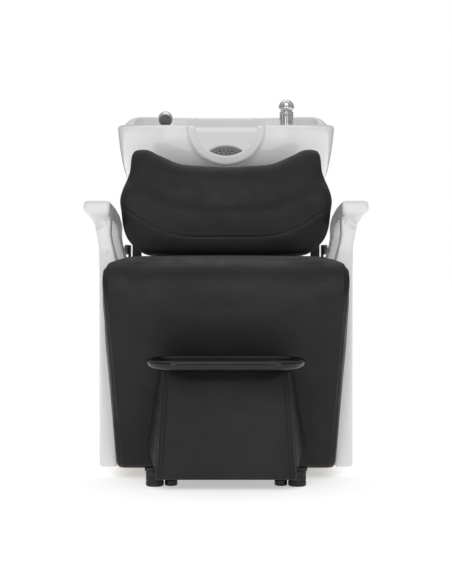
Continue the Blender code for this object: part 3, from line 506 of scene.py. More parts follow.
def plump(obj, cell, pressure, reach, held, frames=20):
    """Fills a pad: even cells, cloth under pressure, and no point moved further than reach.

    reach gives the furthest move along each axis, and held marks the points that stay on their board.
    """
    even_cells(obj, cell)
    relax(obj, 2)
    rest = points_of(obj)
    fixed = held(rest)
    group = obj.vertex_groups.new(name="on_board")
    group.add([int(i) for i in np.nonzero(fixed)[0]], 1.0, "REPLACE")
    cloth = obj.modifiers.new("filling", "CLOTH")
    cloth.settings.quality = 4
    cloth.settings.bending_stiffness = 8.0
    cloth.settings.use_pressure = True
    cloth.settings.uniform_pressure_force = pressure
    cloth.settings.effector_weights.gravity = 0.0
    cloth.settings.vertex_group_mass = group.name
    cloth.point_cache.frame_start = 1
    cloth.point_cache.frame_end = frames
    for step in range(1, frames + 1):
        bpy.context.scene.frame_set(step)
    settle(obj)
    bpy.context.scene.frame_set(1)
    move = points_of(obj) - rest
    furthest = np.abs(move / np.array(reach)).max(axis=1)
    move /= np.maximum(furthest, 1.0)[:, None]
    place_points(obj, rest + evened_moves(obj, move, 14))
    obj.vertex_groups.clear()
    return subdivide(obj)


def put(obj, finish, body, *nodes, sharp=40):
    """Gives a piece its finish, its body and the frame nodes that it stands for."""
    obj.data.materials.clear()
    obj.data.materials.append(FINISHES.made(finish))
    obj.data.shade_smooth()
    obj.data.set_sharp_from_angle(angle=math.radians(sharp))
    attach(obj, body)
    if nodes:
        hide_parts(*nodes)
    return obj


def stitches(name, pad, rows, body, spacing=0.0052, length=0.0036, thread=0.00042):
    """Thread laid on a pad along rows of points, one small bead for each stitch."""
    pad_mesh = bmesh.new()
    pad_mesh.from_mesh(pad.data)
    surface = BVHTree.FromBMesh(pad_mesh)
    pad_mesh.free()
    bm = bmesh.new()
    for row in rows:
        path = [Vector(p) for p in row]
        travelled = 0.0
        due = spacing / 2
        for here, after in zip(path, path[1:]):
            run = (after - here).length
            while due <= travelled + run:
                spot, normal, _, _ = surface.find_nearest(here.lerp(after, (due - travelled) / run))
                way = (after - here).normalized()
                way = (way - normal * way.dot(normal)).normalized()
                side = way.cross(normal)
                frame_matrix = Matrix((way, side, normal)).transposed().to_4x4()
                shape = Matrix.Diagonal((length / 2, thread, thread * 0.8, 1.0))
                spot_matrix = Matrix.Translation(spot + normal * thread * 0.4)
                bmesh.ops.create_icosphere(
                    bm, subdivisions=1, radius=1.0, matrix=spot_matrix @ frame_matrix @ shape
                )
                due += spacing
            travelled += run
    obj = solid(name, bm)
    return put(obj, "black_leather", body, sharp=80)


class Finishes:
    """The unit's finishes, each a procedural material made once, on first use."""

    def __init__(self):
        self.kept = {}

    def made(self, name):
        if name not in self.kept:
            self.kept[name] = getattr(self, name)(Surface(name))
        return self.kept[name]

    def black_leather(self, surface):
        looks = bpy.context.scene.backwash_upholstery
        dark = tuple(looks.leather_colour)
        light = tuple(min(c * 1.45 + 0.002, 1.0) for c in dark)
        surface.tint(surface.noise(7.0, 3.0), dark, light)
        matt = looks.leather_roughness
        surface.gloss(surface.noise(26.0, 4.0), matt - 0.06, matt + 0.08)
        surface.uniform("Specular IOR Level", 0.25)
        surface.relief(surface.cells(1.0 / looks.grain_size), 0.00045, 0.30)
        surface.relief(surface.noise(900.0, 3.0), 0.00015, 0.25)
        surface.relief(surface.noise(38.0, 4.0), 0.0014, 0.16)
        return surface.material

    def white_plastic(self, surface):
        looks = bpy.context.scene.backwash_mouldings
        light = tuple(looks.plastic_colour)
        surface.tint(surface.noise(5.0, 3.0), tuple(c * 0.975 for c in light), light)
        surface.gloss(surface.noise(6.0, 2.0), 0.24, 0.28)
        surface.relief(surface.noise(320.0, 2.0), 0.0001, 0.06)
        surface.relief(surface.noise(6.0, 2.0), 0.0008, 0.04)
        return surface.material

    def white_ceramic(self, surface):
        looks = bpy.context.scene.backwash_basin
        light = tuple(looks.glaze_colour)
        surface.tint(surface.noise(6.0, 4.0), tuple(c * 0.97 for c in light), light)
        surface.gloss(surface.noise(22.0, 3.0), 0.07, 0.14)
        surface.uniform("Coat Weight", 0.6)
        surface.uniform("Coat Roughness", 0.04)
        surface.relief(surface.noise(9.0, 2.0), 0.0010, 0.05)
        surface.relief(surface.noise(420.0, 2.0), 0.0001, 0.08)
        return surface.material

    def chrome(self, surface):
        surface.uniform("Metallic", 1.0)
        surface.tint(surface.noise(60.0, 3.0), (0.60, 0.61, 0.62), (0.72, 0.73, 0.74))
        surface.gloss(surface.noise(180.0, 5.0), 0.05, 0.16)
        surface.relief(surface.noise(500.0, 3.0), 0.00008, 0.10)
        return surface.material

    def bare_steel(self, surface):
        surface.uniform("Metallic", 1.0)
        surface.tint(surface.noise(90.0, 4.0), (0.34, 0.34, 0.33), (0.50, 0.50, 0.48))
        surface.gloss(surface.noise(140.0, 5.0, (1.0, 0.12, 1.0)), 0.24, 0.42)
        surface.relief(surface.noise(700.0, 3.0, (1.0, 0.08, 1.0)), 0.0001, 0.25)
        return surface.material

    def black_steel(self, surface):
        surface.tint(surface.noise(35.0, 4.0), (0.010, 0.010, 0.011), (0.018, 0.018, 0.019))
        surface.gloss(surface.noise(70.0, 4.0), 0.38, 0.52)
        surface.relief(surface.noise(1100.0, 2.0), 0.0002, 0.35)
        return surface.material

    def black_gloss(self, surface):
        surface.tint(surface.noise(20.0, 3.0), (0.006, 0.006, 0.007), (0.011, 0.011, 0.012))
        surface.gloss(surface.noise(60.0, 4.0), 0.09, 0.18)
        surface.uniform("Specular IOR Level", 0.35)
        surface.relief(surface.noise(300.0, 2.0), 0.0001, 0.10)
        return surface.material

    def black_rubber(self, surface):
        surface.tint(surface.noise(60.0, 5.0), (0.008, 0.008, 0.008), (0.020, 0.019, 0.018))
        surface.gloss(surface.noise(90.0, 4.0), 0.62, 0.80)
        surface.relief(surface.noise(1500.0, 4.0), 0.0003, 0.45)
        return surface.material

    def grey_plastic(self, surface):
        surface.tint(surface.noise(40.0, 4.0), (0.15, 0.15, 0.155), (0.19, 0.19, 0.195))
        surface.gloss(surface.noise(80.0, 3.0), 0.36, 0.48)
        surface.relief(surface.noise(800.0, 2.0), 0.0001, 0.25)
        return surface.material

    def plywood(self, surface):
        grain = surface.noise(16.0, 6.0, (1.0, 9.0, 26.0))
        surface.tint(grain, (0.24, 0.135, 0.062), (0.46, 0.30, 0.16))
        surface.gloss(grain, 0.50, 0.68)
        surface.relief(surface.noise(60.0, 5.0, (1.0, 12.0, 30.0)), 0.0004, 0.35)
        return surface.material

    def black_board(self, surface):
        surface.tint(surface.noise(30.0, 4.0), (0.010, 0.010, 0.010), (0.016, 0.016, 0.016))
        surface.gloss(surface.noise(80.0, 4.0), 0.45, 0.62)
        surface.relief(surface.noise(60.0, 5.0, (1.0, 12.0, 30.0)), 0.0003, 0.25)
        return surface.material

    def white_pipe(self, surface):
        surface.tint(surface.noise(25.0, 3.0), (0.60, 0.60, 0.585), (0.70, 0.70, 0.685))
        surface.gloss(surface.noise(50.0, 3.0), 0.30, 0.42)
        surface.relief(surface.noise(400.0, 2.0), 0.0001, 0.15)
        return surface.material


class Surface:
    """One node material, read in the unit's own metres."""

    def __init__(self, name):
        self.material = bpy.data.materials.new(f"backwash_{name}")
        self.material.use_nodes = True
        self.tree = self.material.node_tree
        self.shader = self.tree.nodes["Principled BSDF"]
        self.place = self.tree.nodes.new("ShaderNodeTexCoord").outputs["Object"]
        self.height = None

    def uniform(self, socket, value):
        self.shader.inputs[socket].default_value = value

    def _at(self, node, stretch):
        place = self.place
        if stretch:
            mapping = self.tree.nodes.new("ShaderNodeMapping")
            mapping.inputs["Scale"].default_value = stretch
            self.tree.links.new(place, mapping.inputs["Vector"])
            place = mapping.outputs["Vector"]
        self.tree.links.new(place, node.inputs["Vector"])

    def noise(self, scale, detail, stretch=None):
        node = self.tree.nodes.new("ShaderNodeTexNoise")
        node.inputs["Scale"].default_value = scale
        node.inputs["Detail"].default_value = detail
        self._at(node, stretch)
        return node.outputs["Fac"]

    def cells(self, scale):
        node = self.tree.nodes.new("ShaderNodeTexVoronoi")
        node.inputs["Scale"].default_value = scale
        self._at(node, None)
        return node.outputs["Distance"]

    def tint(self, pattern, low, high):
        ramp = self.tree.nodes.new("ShaderNodeValToRGB")
        ramp.color_ramp.elements[0].position = 0.32
        ramp.color_ramp.elements[0].color = (*low, 1.0)
        ramp.color_ramp.elements[1].position = 0.68
        ramp.color_ramp.elements[1].color = (*high, 1.0)
        self.tree.links.new(pattern, ramp.inputs["Fac"])
        self.tree.links.new(ramp.outputs["Color"], self.shader.inputs["Base Color"])

    def gloss(self, pattern, low, high):
        span = self.tree.nodes.new("ShaderNodeMapRange")
        span.inputs["From Min"].default_value = 0.3
        span.inputs["From Max"].default_value = 0.7
        span.inputs["To Min"].default_value = low
        span.inputs["To Max"].default_value = high
        self.tree.links.new(pattern, span.inputs["Value"])
        self.tree.links.new(span.outputs["Result"], self.shader.inputs["Roughness"])

    def relief(self, pattern, depth, strength):
        bump = self.tree.nodes.new("ShaderNodeBump")
        bump.inputs["Distance"].default_value = depth
        bump.inputs["Strength"].default_value = strength
        self.tree.links.new(pattern, bump.inputs["Height"])
        if self.height is not None:
            self.tree.links.new(self.height, bump.inputs["Normal"])
        self.height = bump.outputs["Normal"]
        self.tree.links.new(self.height, self.shader.inputs["Normal"])


FINISHES = Finishes()


def seat_section(outer, inner, half, edge=0.016, crown=0.003, across=12):
    """One ring of the seat pad: flat on its board, full at the middle, and round at its edges."""
    outer = Vector((0.0, *outer))
    inner = Vector((0.0, *inner))
    way = (outer - inner).normalized()
    depth = (outer - inner).length
    edge = min(edge, depth * 0.45)
    ring = [inner + Vector((half, 0, 0))]
    corner = [(half - edge + u, depth - edge + v) for u, v in arc((0.0, 0.0), edge, 0, 90, 4)]
    for x, height in corner:
        ring.append(inner + Vector((x, 0, 0)) + way * height)
    for i in range(1, across):
        x = (half - edge) * (1 - 2 * i / across)
        ring.append(outer + Vector((x, 0, 0)) + way * crown * (1 - (x / half) ** 2))
    for x, height in reversed(corner):
        ring.append(inner + Vector((-x, 0, 0)) + way * height)
    ring.append(inner + Vector((-half, 0, 0)))
    return ring


def apron_y(z):
    return float(line_at(z, APRON_FRONT))


def build_seat(looks):
    """The seat pad, which covers the seat and falls over the knee edge to the foot of the apron."""
    under = looks.seat_swell
    knee_y, knee_z = KNEE_CENTRE
    hem_top = APRON_HEM[-1][0]
    top = SEAT_TOP - under
    narrow = SEAT_HALF - SEAT_SLACK
    rings = []
    for z, tuck in APRON_HEM:
        half = float(line_at(z, APRON_HALF)) - under - tuck / 3
        rings.append(seat_section((apron_y(z) + under + tuck, z), (APRON_REAR, z), half))
    for i in range(1, 15):
        z = hem_top + (knee_z - hem_top) * i / 15
        half = float(line_at(z, APRON_HALF)) - under
        rings.append(seat_section((apron_y(z) + under, z), (APRON_REAR, z), half))
    for i, (y, z) in enumerate(arc(KNEE_CENTRE, KNEE_RADIUS - under, 180, 90, 14)):
        half = float(line_at(z + under, APRON_HALF)) - under
        inner = (APRON_REAR, knee_z + (SEAT_UNDER - knee_z) * i / 15)
        rings.append(seat_section((y, z), inner, max(half, narrow)))
    flat_start = knee_y + 0.025
    flat_run = SEAT_BACK - 0.047 - knee_y
    for i in range(1, 10):
        y = flat_start + flat_run * i / 9
        rings.append(seat_section((y, top), (y, SEAT_UNDER), narrow))
    rear_centre = (SEAT_BACK - SEAT_REAR_RADIUS, top - SEAT_REAR_RADIUS)
    for y, z in arc(rear_centre, SEAT_REAR_RADIUS, 80, 0, 5):
        rings.append(seat_section((y, z), (y, SEAT_UNDER), narrow))
    pad = solid("seat_upholstery", loft(rings))
    tunnel_centre = (0, -0.40, TUNNEL_TOP + TUNNEL_SLACK - TUNNEL_CUT / 2)
    tunnel_size = (2 * TUNNEL_HALF + 2 * TUNNEL_SLACK, TUNNEL_CUT, TUNNEL_CUT)
    cut(pad, block("runner_tunnel", tunnel_centre, tunnel_size))

    def on_board(points):
        rear = (points[:, 1] > APRON_REAR - 0.008) & (points[:, 2] < SEAT_UNDER)
        under_seat = (points[:, 2] < SEAT_UNDER + 0.006) & (points[:, 1] > APRON_REAR)
        foot = points[:, 2] < TUNNEL_TOP + 0.010
        return rear | under_seat | foot

    plump(pad, looks.seat_cell, 4.0, (0.004, 0.006, 0.006), on_board)
    points = points_of(pad)
    behind = points[:, 1] > SHELL_FRONT - 0.004
    limit = np.where(behind, SEAT_HALF, 1.0)
    points[:, 0] = np.clip(points[:, 0], -limit, limit)
    half = line_at(points[:, 2], APRON_HALF)
    half = np.where(points[:, 1] > knee_y, SEAT_HALF, half)
    normals = normals_of(pad)
    facing = np.clip(np.maximum(-normals[:, 1], normals[:, 2]) * 1.5 - 0.3, 0, 1)
    from_seam = half - np.abs(points[:, 0]) - looks.seam_inset
    groove = ridge(from_seam, 0.0020, 0.0030)
    piping = ridge(from_seam - 0.007, 0.0009, 0.0035)
    place_points(pad, points + normals * ((piping - groove) * facing)[:, None])
    put(pad, "black_leather", "base", "seat_cushion", sharp=70)
    rows = []
    lowest = 0.045
    for side in (-1, 1):
        for offset in (-0.0038, 0.0038):
            row = []
            for i in range(60):
                z = lowest + (knee_z - lowest) * i / 60
                x = line_at(z, APRON_HALF) - looks.seam_inset - offset
                row.append((side * x, apron_y(z), z))
            for y, z in arc(KNEE_CENTRE, KNEE_RADIUS, 180, 90, 30):
                x = line_at(z, APRON_HALF) - looks.seam_inset - offset
                row.append((side * x, y, z))
            x = SEAT_HALF - looks.seam_inset - offset
            row.append((side * x, SEAT_BACK - 0.030, SEAT_TOP))
            rows.append(row)
    stitches("seat_stitching", pad, rows, "base", looks.stitch_spacing)


def back_front(z):
    return BACK_LEAN_Y + BACK_CURVE * (z - BACK_FOOT) ** 2


def back_rear(z):
    return back_front(z) + BACK_THICK - BACK_THIN * (z - BACK_FOOT)


def backrest_relief(x, z, depth):
    """How far the face stands forward: a hollow upper panel, a full roll and a tucked-under lower panel."""
    fold = even_curve(FOLD_LINE, np.minimum(x, 0.245))
    seam = even_curve(SEAM_LINE, np.minimum(x, 0.258))
    above = z - fold
    share = np.clip((fold - z) / np.maximum(fold - seam, 0.01), 0, 1)
    below = seam - z
    hollow = -0.60 + 0.60 * smoothstep(above / 0.07)
    roll = -0.60 + 0.75 * smoothstep(share / 0.36) - 0.35 * smoothstep((share - 0.36) / 0.64)
    tuck = -0.20 - 0.90 * smoothstep(below / 0.062)
    relief = np.where(above > 0, hollow, np.where(below > 0, tuck, roll))
    return (relief + ridge(below, -0.16, 0.0026)) * depth


def build_backrest(looks):
    """The backrest pad with its soft upper fold and its stitched lower seam."""
    under = looks.back_swell
    outline = inset(rounded(mirrored(BACK_OUTLINE), 4), 0.001)

    def place(u, v, t):
        front = back_front(v) + under
        return Vector((u, front + t * (back_rear(v) - front), v))

    levels = [0.50 + 0.008 * i for i in range(34)]
    pad = prism("backrest_upholstery", outline, BACK_STEPS, place, evened=4, levels=levels)

    def on_board(points):
        return points[:, 1] > back_rear(points[:, 2]) - 0.010

    plump(pad, looks.pad_cell, 4.0, (0.0015, 0.008, 0.0015), on_board)
    points = points_of(pad)
    normals = normals_of(pad)
    facing = smoothstep(np.clip(-normals[:, 1] * 1.3, 0, 1))
    across = np.abs(points[:, 0])
    points[:, 1] -= backrest_relief(across, points[:, 2], looks.fold_depth) * facing
    place_points(pad, points)
    put(pad, "black_leather", "base", "backrest_cushion", sharp=70)
    row = []
    for i in range(-60, 61):
        x = 0.250 * i / 60
        z = float(even_curve(SEAM_LINE, abs(x))) - 0.0045
        row.append((x, back_front(z) + 0.001, z))
    stitches("backrest_stitching", pad, [row], "base", looks.stitch_spacing)


def footrest_half(z):
    share = (z - APRON_FOOT) / (FOOTREST_TOP - APRON_FOOT)
    return FOOTREST_HALF_FOOT + (FOOTREST_HALF_TOP - FOOTREST_HALF_FOOT) * share


def footrest_y(z):
    return FOOTREST_FRONT + FOOTREST_LEAN * (z - APRON_FOOT) / (FOOTREST_TOP - APRON_FOOT)


def build_footrest(looks):
    """The three upholstered pads of the footrest and their double rows of stitching."""
    rings = []
    low = APRON_FOOT + 0.001
    top = FOOTREST_TOP - 0.001
    edge = 0.010
    for i in range(13):
        z = low + (top - low) * i / 12
        half = footrest_half(z) - 0.001
        y = footrest_y(z) + 0.002
        rear = footrest_y(z) + FOOTREST_PAD - 0.0005
        corner = [(half - edge + u, y + edge - v) for u, v in arc((0.0, 0.0), edge, 90, 0, 5)]
        right = [Vector((u, v, z)) for u, v in corner] + [Vector((half, rear, z))]
        left = [Vector((-p.x, p.y, p.z)) for p in reversed(right)]
        rings.append(left + right)
    front = solid("footrest_front_upholstery", loft(rings))

    def on_panel(points):
        return points[:, 1] > footrest_y(points[:, 2]) + FOOTREST_PAD - 0.008

    plump(front, looks.thin_pad_cell, 3.0, (0.001, 0.004, 0.001), on_panel)
    points = points_of(front)
    normals = normals_of(front)
    inwards = footrest_half(points[:, 2]) - np.abs(points[:, 0])
    facing = smoothstep(-normals[:, 1] * 1.3)
    groove = ridge(inwards - 0.0125, 0.0014, 0.0026) * facing
    place_points(front, points - normals * groove[:, None])
    put(front, "black_leather", "base", "footrest_front_pad", sharp=70)
    rows = []
    for side in (-1, 1):
        for offset in (0.0090, 0.0160):
            row = []
            for i in range(41):
                z = low + 0.006 + (top - low - 0.012) * i / 40
                row.append((side * (footrest_half(z) - offset), footrest_y(z), z))
            rows.append(row)
    stitches("footrest_stitching", front, rows, "base", looks.stitch_spacing)
    for side, sign in SIDES:
        build_footrest_side(looks, side, sign)


def build_footrest_side(looks, side, sign):
    """A thin upholstered side of the footrest, splayed out towards the seat."""
    seam = FOOTREST_PAD + GAP
    top = FOOTREST_TOP - 0.001
    rear_x, rear_z = FOOTREST_REAR_LOW
    corners = [
        (FOOTREST_HALF_FOOT, footrest_y(FOOTREST_SIDE_LOW) + seam, FOOTREST_SIDE_LOW),
        (rear_x, apron_y(rear_z) - 0.007, rear_z),
        (FOOTREST_REAR_HALF, apron_y(FOOTREST_TOP) - 0.009, top),
        (FOOTREST_HALF_TOP, footrest_y(FOOTREST_TOP) + seam, top),
    ]
    points = [Vector((sign * x, y + 0.001, z)) for x, y, z in corners]
    normal = (points[1] - points[0]).cross(points[3] - points[0]).normalized()
    if normal.x * sign < 0:
        normal.negate()
    across = Vector((sign, 0, 0))
    rings = []
    middle = sum(points, Vector()) / 4
    for depth, pull in ((0.0, 0.025), (0.002, 0.006), (0.005, 0.0), (FOOTREST_WALL, 0.0)):
        ring = []
        for i, corner in enumerate(points):
            after = points[(i + 1) % 4]
            for k in range(8):
                spot = corner.lerp(after, k / 8)
                ring.append(spot.lerp(middle, pull) - across * depth)
        rings.append(ring)
    pad = solid(f"footrest_side_upholstery_{side}", loft(rings))

    def on_panel(found):
        offset = (found - np.array(points[0])) @ np.array(normal)
        return offset < -0.006

    plump(pad, looks.thin_pad_cell * 0.8, 2.0, (0.0015, 0.0008, 0.0008), on_panel)
    put(pad, "black_leather", "base", f"footrest_side_pad_{side}", sharp=60)


def build_tray():
    """The glossy tray with a rolled rim and a shallow dish."""
    right = arc((TRAY_HALF - TRAY_RADIUS, 0.0), TRAY_RADIUS, -90, 90, 40)
    left = arc((TRAY_RADIUS - TRAY_HALF, 0.0), TRAY_RADIUS, 90, 270, 40)
    low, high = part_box("footrest_tray")
    place = Matrix.Translation((0.0, (low.y + high.y) / 2, 0.0)) @ Matrix.Rotation(TRAY_TILT, 4, "X")
    profile = [
        (0.0000, 0.0130),
        (0.0010, 0.0085),
        (0.0040, 0.0040),
        (0.0080, 0.0010),
        (0.0120, 0.0000),
        (0.0165, 0.0002),
        (0.0190, 0.0014),
        (0.0205, 0.0034),
        (TRAY_THICK, 0.0056),
        (0.0207, 0.0078),
        (0.0190, 0.0095),
        (0.0165, 0.0115),
        (0.0153, 0.0145),
        (0.0150, 0.0190),
        (0.0148, 0.0600),
    ]
    scale = (high.y - low.y) / (2 * TRAY_RADIUS * math.cos(TRAY_TILT))
    drop = math.sin(TRAY_TILT) * TRAY_RADIUS

    def spot(u, v, t):
        return place @ Vector((u, v * min(scale, 1.0), t)) + Vector((0, 0, low.z + drop))

    tray = prism("footrest_tray_polished", right + left, profile, spot)
    bm = bmesh.new()
    bm.from_mesh(tray.data)
    lowest = min(v.co.z for v in bm.verts)
    bmesh.ops.translate(bm, verts=bm.verts, vec=(0, 0, low.z - lowest))
    bm.to_mesh(tray.data)
    bm.free()
    put(tray, "black_gloss", "base", "footrest_tray", sharp=50)


def shell_x(z, t):
    """The x of a point of the side shell: t is 0 on its inner face and 1 on its outer face."""
    inner = SHELL_INNER + (ARM_INNER - SHELL_INNER) * float(smoothstep((z - SHELL_WAIST) / ARM_BLEND))
    outer = float(line_at(z, SHELL_OUTER_LINE))
    return inner + (outer - inner) * t


def build_side_shells(looks):
    """The white mouldings at the sides, which rise into the arms."""
    outline = [(SHELL_FRONT, 0.020), (SHELL_BACK, 0.020), (SHELL_BACK, 0.420)]
    outline += [(0.088, 0.470), (0.070, 0.520), (0.074, 0.551)]
    outline += arc((0.066, 0.571), 0.020, -60, 80, 8)
    outline += [(0.0, 0.607), (-0.120, 0.619), (-0.220, 0.6245)]
    outline += arc((-0.294, 0.6085), 0.018, 90, 180, 8)
    outline += [(-0.3115, 0.600), (-0.3040, 0.592), (-0.2900, 0.589), (-0.2860, 0.576), (-0.290, 0.550)]
    outline += [(-0.302, 0.520), (-0.319, 0.490), (-0.338, 0.460), (SHELL_FRONT, 0.420)]
    levels = [SHELL_WAIST + 0.006 * i for i in range(29)]
    loop = [tuple(p) for p in rounded(ARM_LOOP, 5)]
    steps = [(0.0, 0.003), (0.10, 0.0), (0.35, 0.0), (0.65, 0.0), (0.88, 0.0), (0.97, 0.003), (1.0, 0.008)]

    def place(u, v, t):
        return Vector((-shell_x(v, t), u, v))

    shell = prism("side_moulding_left", outline, steps, place, levels=levels)
    cut(shell, prism("arm_loop_cut", loop, [(-0.6, 0.0), (0.5, 0.0), (1.8, 0.0)], place))
    scoop = ball("arm_scoop", (-0.2955, -0.290, 0.571), (0.0095, 0.014, 0.0110))
    flutes = []
    for x_top, x_foot in ((0.2740, 0.2690), (0.2880, 0.2810)):
        start = (-x_top, -0.2855, 0.584)
        end = (-x_foot, -0.3120, 0.500)
        flutes.append(rod("arm_flute", start, end, 0.0050))
    cut(shell, scoop, *flutes)
    even_cells(shell, looks.shell_cell)
    relax(shell, 3)
    twin = shell.copy()
    twin.data = shell.data.copy()
    twin.name = "side_moulding_right"
    bpy.context.scene.collection.objects.link(twin)
    twin.data.transform(Matrix.Scale(-1, 4, (1, 0, 0)))
    twin.data.flip_normals()
    put(shell, "white_plastic", "base", "side_shell_left", sharp=60)
    put(twin, "white_plastic", "base", "side_shell_right", sharp=60)
    profile = [(0.009, 0.0), (0.0130, 0.0006), (0.0130, 0.0085), (0.0100, 0.0105), (0.0030, 0.0110)]
    for side, sign in SIDES:
        low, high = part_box(f"arm_end_cap_{side}")
        middle = (low + high) / 2
        start = Vector((low.x if sign > 0 else high.x, middle.y, middle.z))
        outwards = along(start, start + Vector((sign, 0, 0)))
        plug = turned(f"arm_end_plug_{side}", softened(profile, 0.002), outwards, 48)
        put(plug, "grey_plastic", "base", f"arm_end_cap_{side}")


def rim_z(y):
    """The height of the basin's rim, which slopes up and then rises to the raised back."""
    rise = RIM_RISE * float(smoothstep((y - RIM_RISE_START) / RIM_RISE_RUN))
    return RIM_FRONT_Z + RIM_SLOPE * min(y - BOWL_FRONT, RIM_SLOPE_RUN) + rise


def superellipse(half_x, half_y, power, angle):
    c, s = math.cos(angle), math.sin(angle)
    return (
        half_x * math.copysign(abs(c) ** (2 / power), c),
        half_y * math.copysign(abs(s) ** (2 / power), s),
    )


def dished(name, centre_y, half_x, half_y, power, low, high, count=160):
    """A solid between two height fields over a rounded rectangle."""

    def ring(share, height):
        points = []
        for i in range(count):
            x, y = superellipse(half_x, half_y, power, 2 * math.pi * (i + 0.5) / count)
            y = centre_y + y * share
            points.append(Vector((x * share, y, height(y, share))))
        return points

    rings = [ring(share, low) for share in reversed(DISH_SHARES)]
    rings += [ring(share, high) for share in DISH_SHARES]
    return solid(name, loft(rings))


def notch_outline(half, bottom, top, count=48):
    """A half ellipse that opens upwards."""
    drop = top - bottom
    points = []
    for i in range(count + 1):
        angle = math.pi + math.pi * i / count
        points.append((half * math.cos(angle), top + drop * math.sin(angle)))
    return points


def front_solid(name, outline, low_y, high_y, soft=0.0):
    """A solid that runs from front to back on an outline in (x, z), its front edge softened."""

    def place(u, v, t):
        return Vector((u, t, v))

    steps = [(low_y, 0.0), (high_y, 0.0)]
    if soft:
        steps = [(low_y, soft), (low_y + soft, 0.0), (high_y, 0.0)]
    return prism(name, outline, steps, place)


def build_bowl(looks):
    """The glazed basin with its tap deck, its rolled neck lip and its raised back."""

    def outer_low(y, share):
        under = float(line_at(y, BOWL_UNDER))
        return under + (rim_z(y) - RIM_BAND - under) * share**20

    def outer_high(y, share):
        return rim_z(y) - 0.004 * max(0.0, (share - 0.97) / 0.03)

    def basin_low(y, share):
        floor = float(line_at(y, BASIN_FLOOR))
        return floor + (rim_z(y) - floor) * share**7

    def deck_low(y, share):
        return DECK_Z + 0.012 * share**28

    def above_all(y, share):
        return 1.0

    bowl = dished("bowl_glazed", BOWL_CENTRE_Y, BOWL_HALF_X, BOWL_HALF_Y, 3.8, outer_low, outer_high)
    lip_half = NOTCH_HALF + LIP_WIDTH
    lip_outline = notch_outline(lip_half, NOTCH_BOTTOM - LIP_DEPTH, RIM_FRONT_Z - 0.0015)
    join(bowl, front_solid("neck_lip", lip_outline, LIP_FRONT, LIP_BACK, LIP_SOFT))
    basin_y = (BASIN_FRONT + BASIN_BACK) / 2
    basin_half = (BASIN_BACK - BASIN_FRONT) / 2
    basin = dished("basin_cut", basin_y, BASIN_HALF_X, basin_half, 3.2, basin_low, above_all)
    deck_y = (DECK_FRONT + DECK_BACK) / 2
    deck_half = (DECK_BACK - DECK_FRONT) / 2
    deck = dished("deck_cut", deck_y, BASIN_HALF_X, deck_half, 2.6, deck_low, above_all)
    notch = notch_outline(NOTCH_HALF, NOTCH_BOTTOM, RIM_FRONT_Z)
    notch += [(NOTCH_HALF, 1.0), (-NOTCH_HALF, 1.0)]
    cut(bowl, basin, deck, front_solid("neck_notch", notch, 0.05, 0.175))
    seat = along(STRAINER_CENTRE - STRAINER_NORMAL * 0.002, STRAINER_CENTRE + STRAINER_NORMAL)
    seat_radius = STRAINER_RADIUS + 0.0015
    cutters = [turned("strainer_seat", [(seat_radius, 0.0), (seat_radius, 0.2)], seat)]
    sump = along(STRAINER_CENTRE - STRAINER_NORMAL * 0.030, STRAINER_CENTRE + STRAINER_NORMAL)
    cutters.append(turned("sump", [(0.026, 0.0), (0.034, 0.010), (0.034, 0.04)], sump, 48))
    cutters.append(rod("drain_hole", (0.0, 0.345, 0.60), (0.0, 0.345, 0.745), 0.016))
    for sign in (-1, 1):
        spot = (sign * TAP_X, TAP_Y)
        cutters.append(rod("tap_hole", (*spot, 0.78), (*spot, 0.90), TAP_HOLE + TAP_HOLE_SLACK))
    cut(bowl, *cutters)
    even_cells(bowl, looks.bowl_cell)
    relax(bowl, 3)
    put(bowl, "white_ceramic", "bowl", "bowl", sharp=60)


def build_strainer():
    """The pierced plate over the drain."""
    seat = along(STRAINER_CENTRE, STRAINER_CENTRE + STRAINER_NORMAL)
    profile = [
        (STRAINER_RADIUS - 0.0012, 0.0),
        (STRAINER_RADIUS, 0.0010),
        (STRAINER_RADIUS, 0.0028),
        (STRAINER_RADIUS - 0.0015, 0.0040),
        (STRAINER_RADIUS - 0.0050, 0.0040),
        (STRAINER_RADIUS - 0.0075, 0.0026),
        (0.030, 0.0020),
        (0.010, 0.0024),
        (0.001, 0.0030),
    ]
    plate = turned("strainer_plate", profile, seat, 96)
    punches = bmesh.new()
    for radius, count in STRAINER_ROWS:
        for i in range(count):
            angle = 2 * math.pi * i / count
            spot = seat @ Vector((radius * math.cos(angle), radius * math.sin(angle), -0.01))
            punch = loft([circle(STRAINER_HOLE, 14, 0.0), circle(STRAINER_HOLE, 14, 0.03)])
            punch.transform(along(spot, spot + STRAINER_NORMAL * 0.03))
            mesh = bpy.data.meshes.new("punch")
            punch.to_mesh(mesh)
            punch.free()
            punches.from_mesh(mesh)
            bpy.data.meshes.remove(mesh)
    cut(plate, solid("punches", punches))
    put(plate, "grey_plastic", "strainer", "strainer", sharp=35)


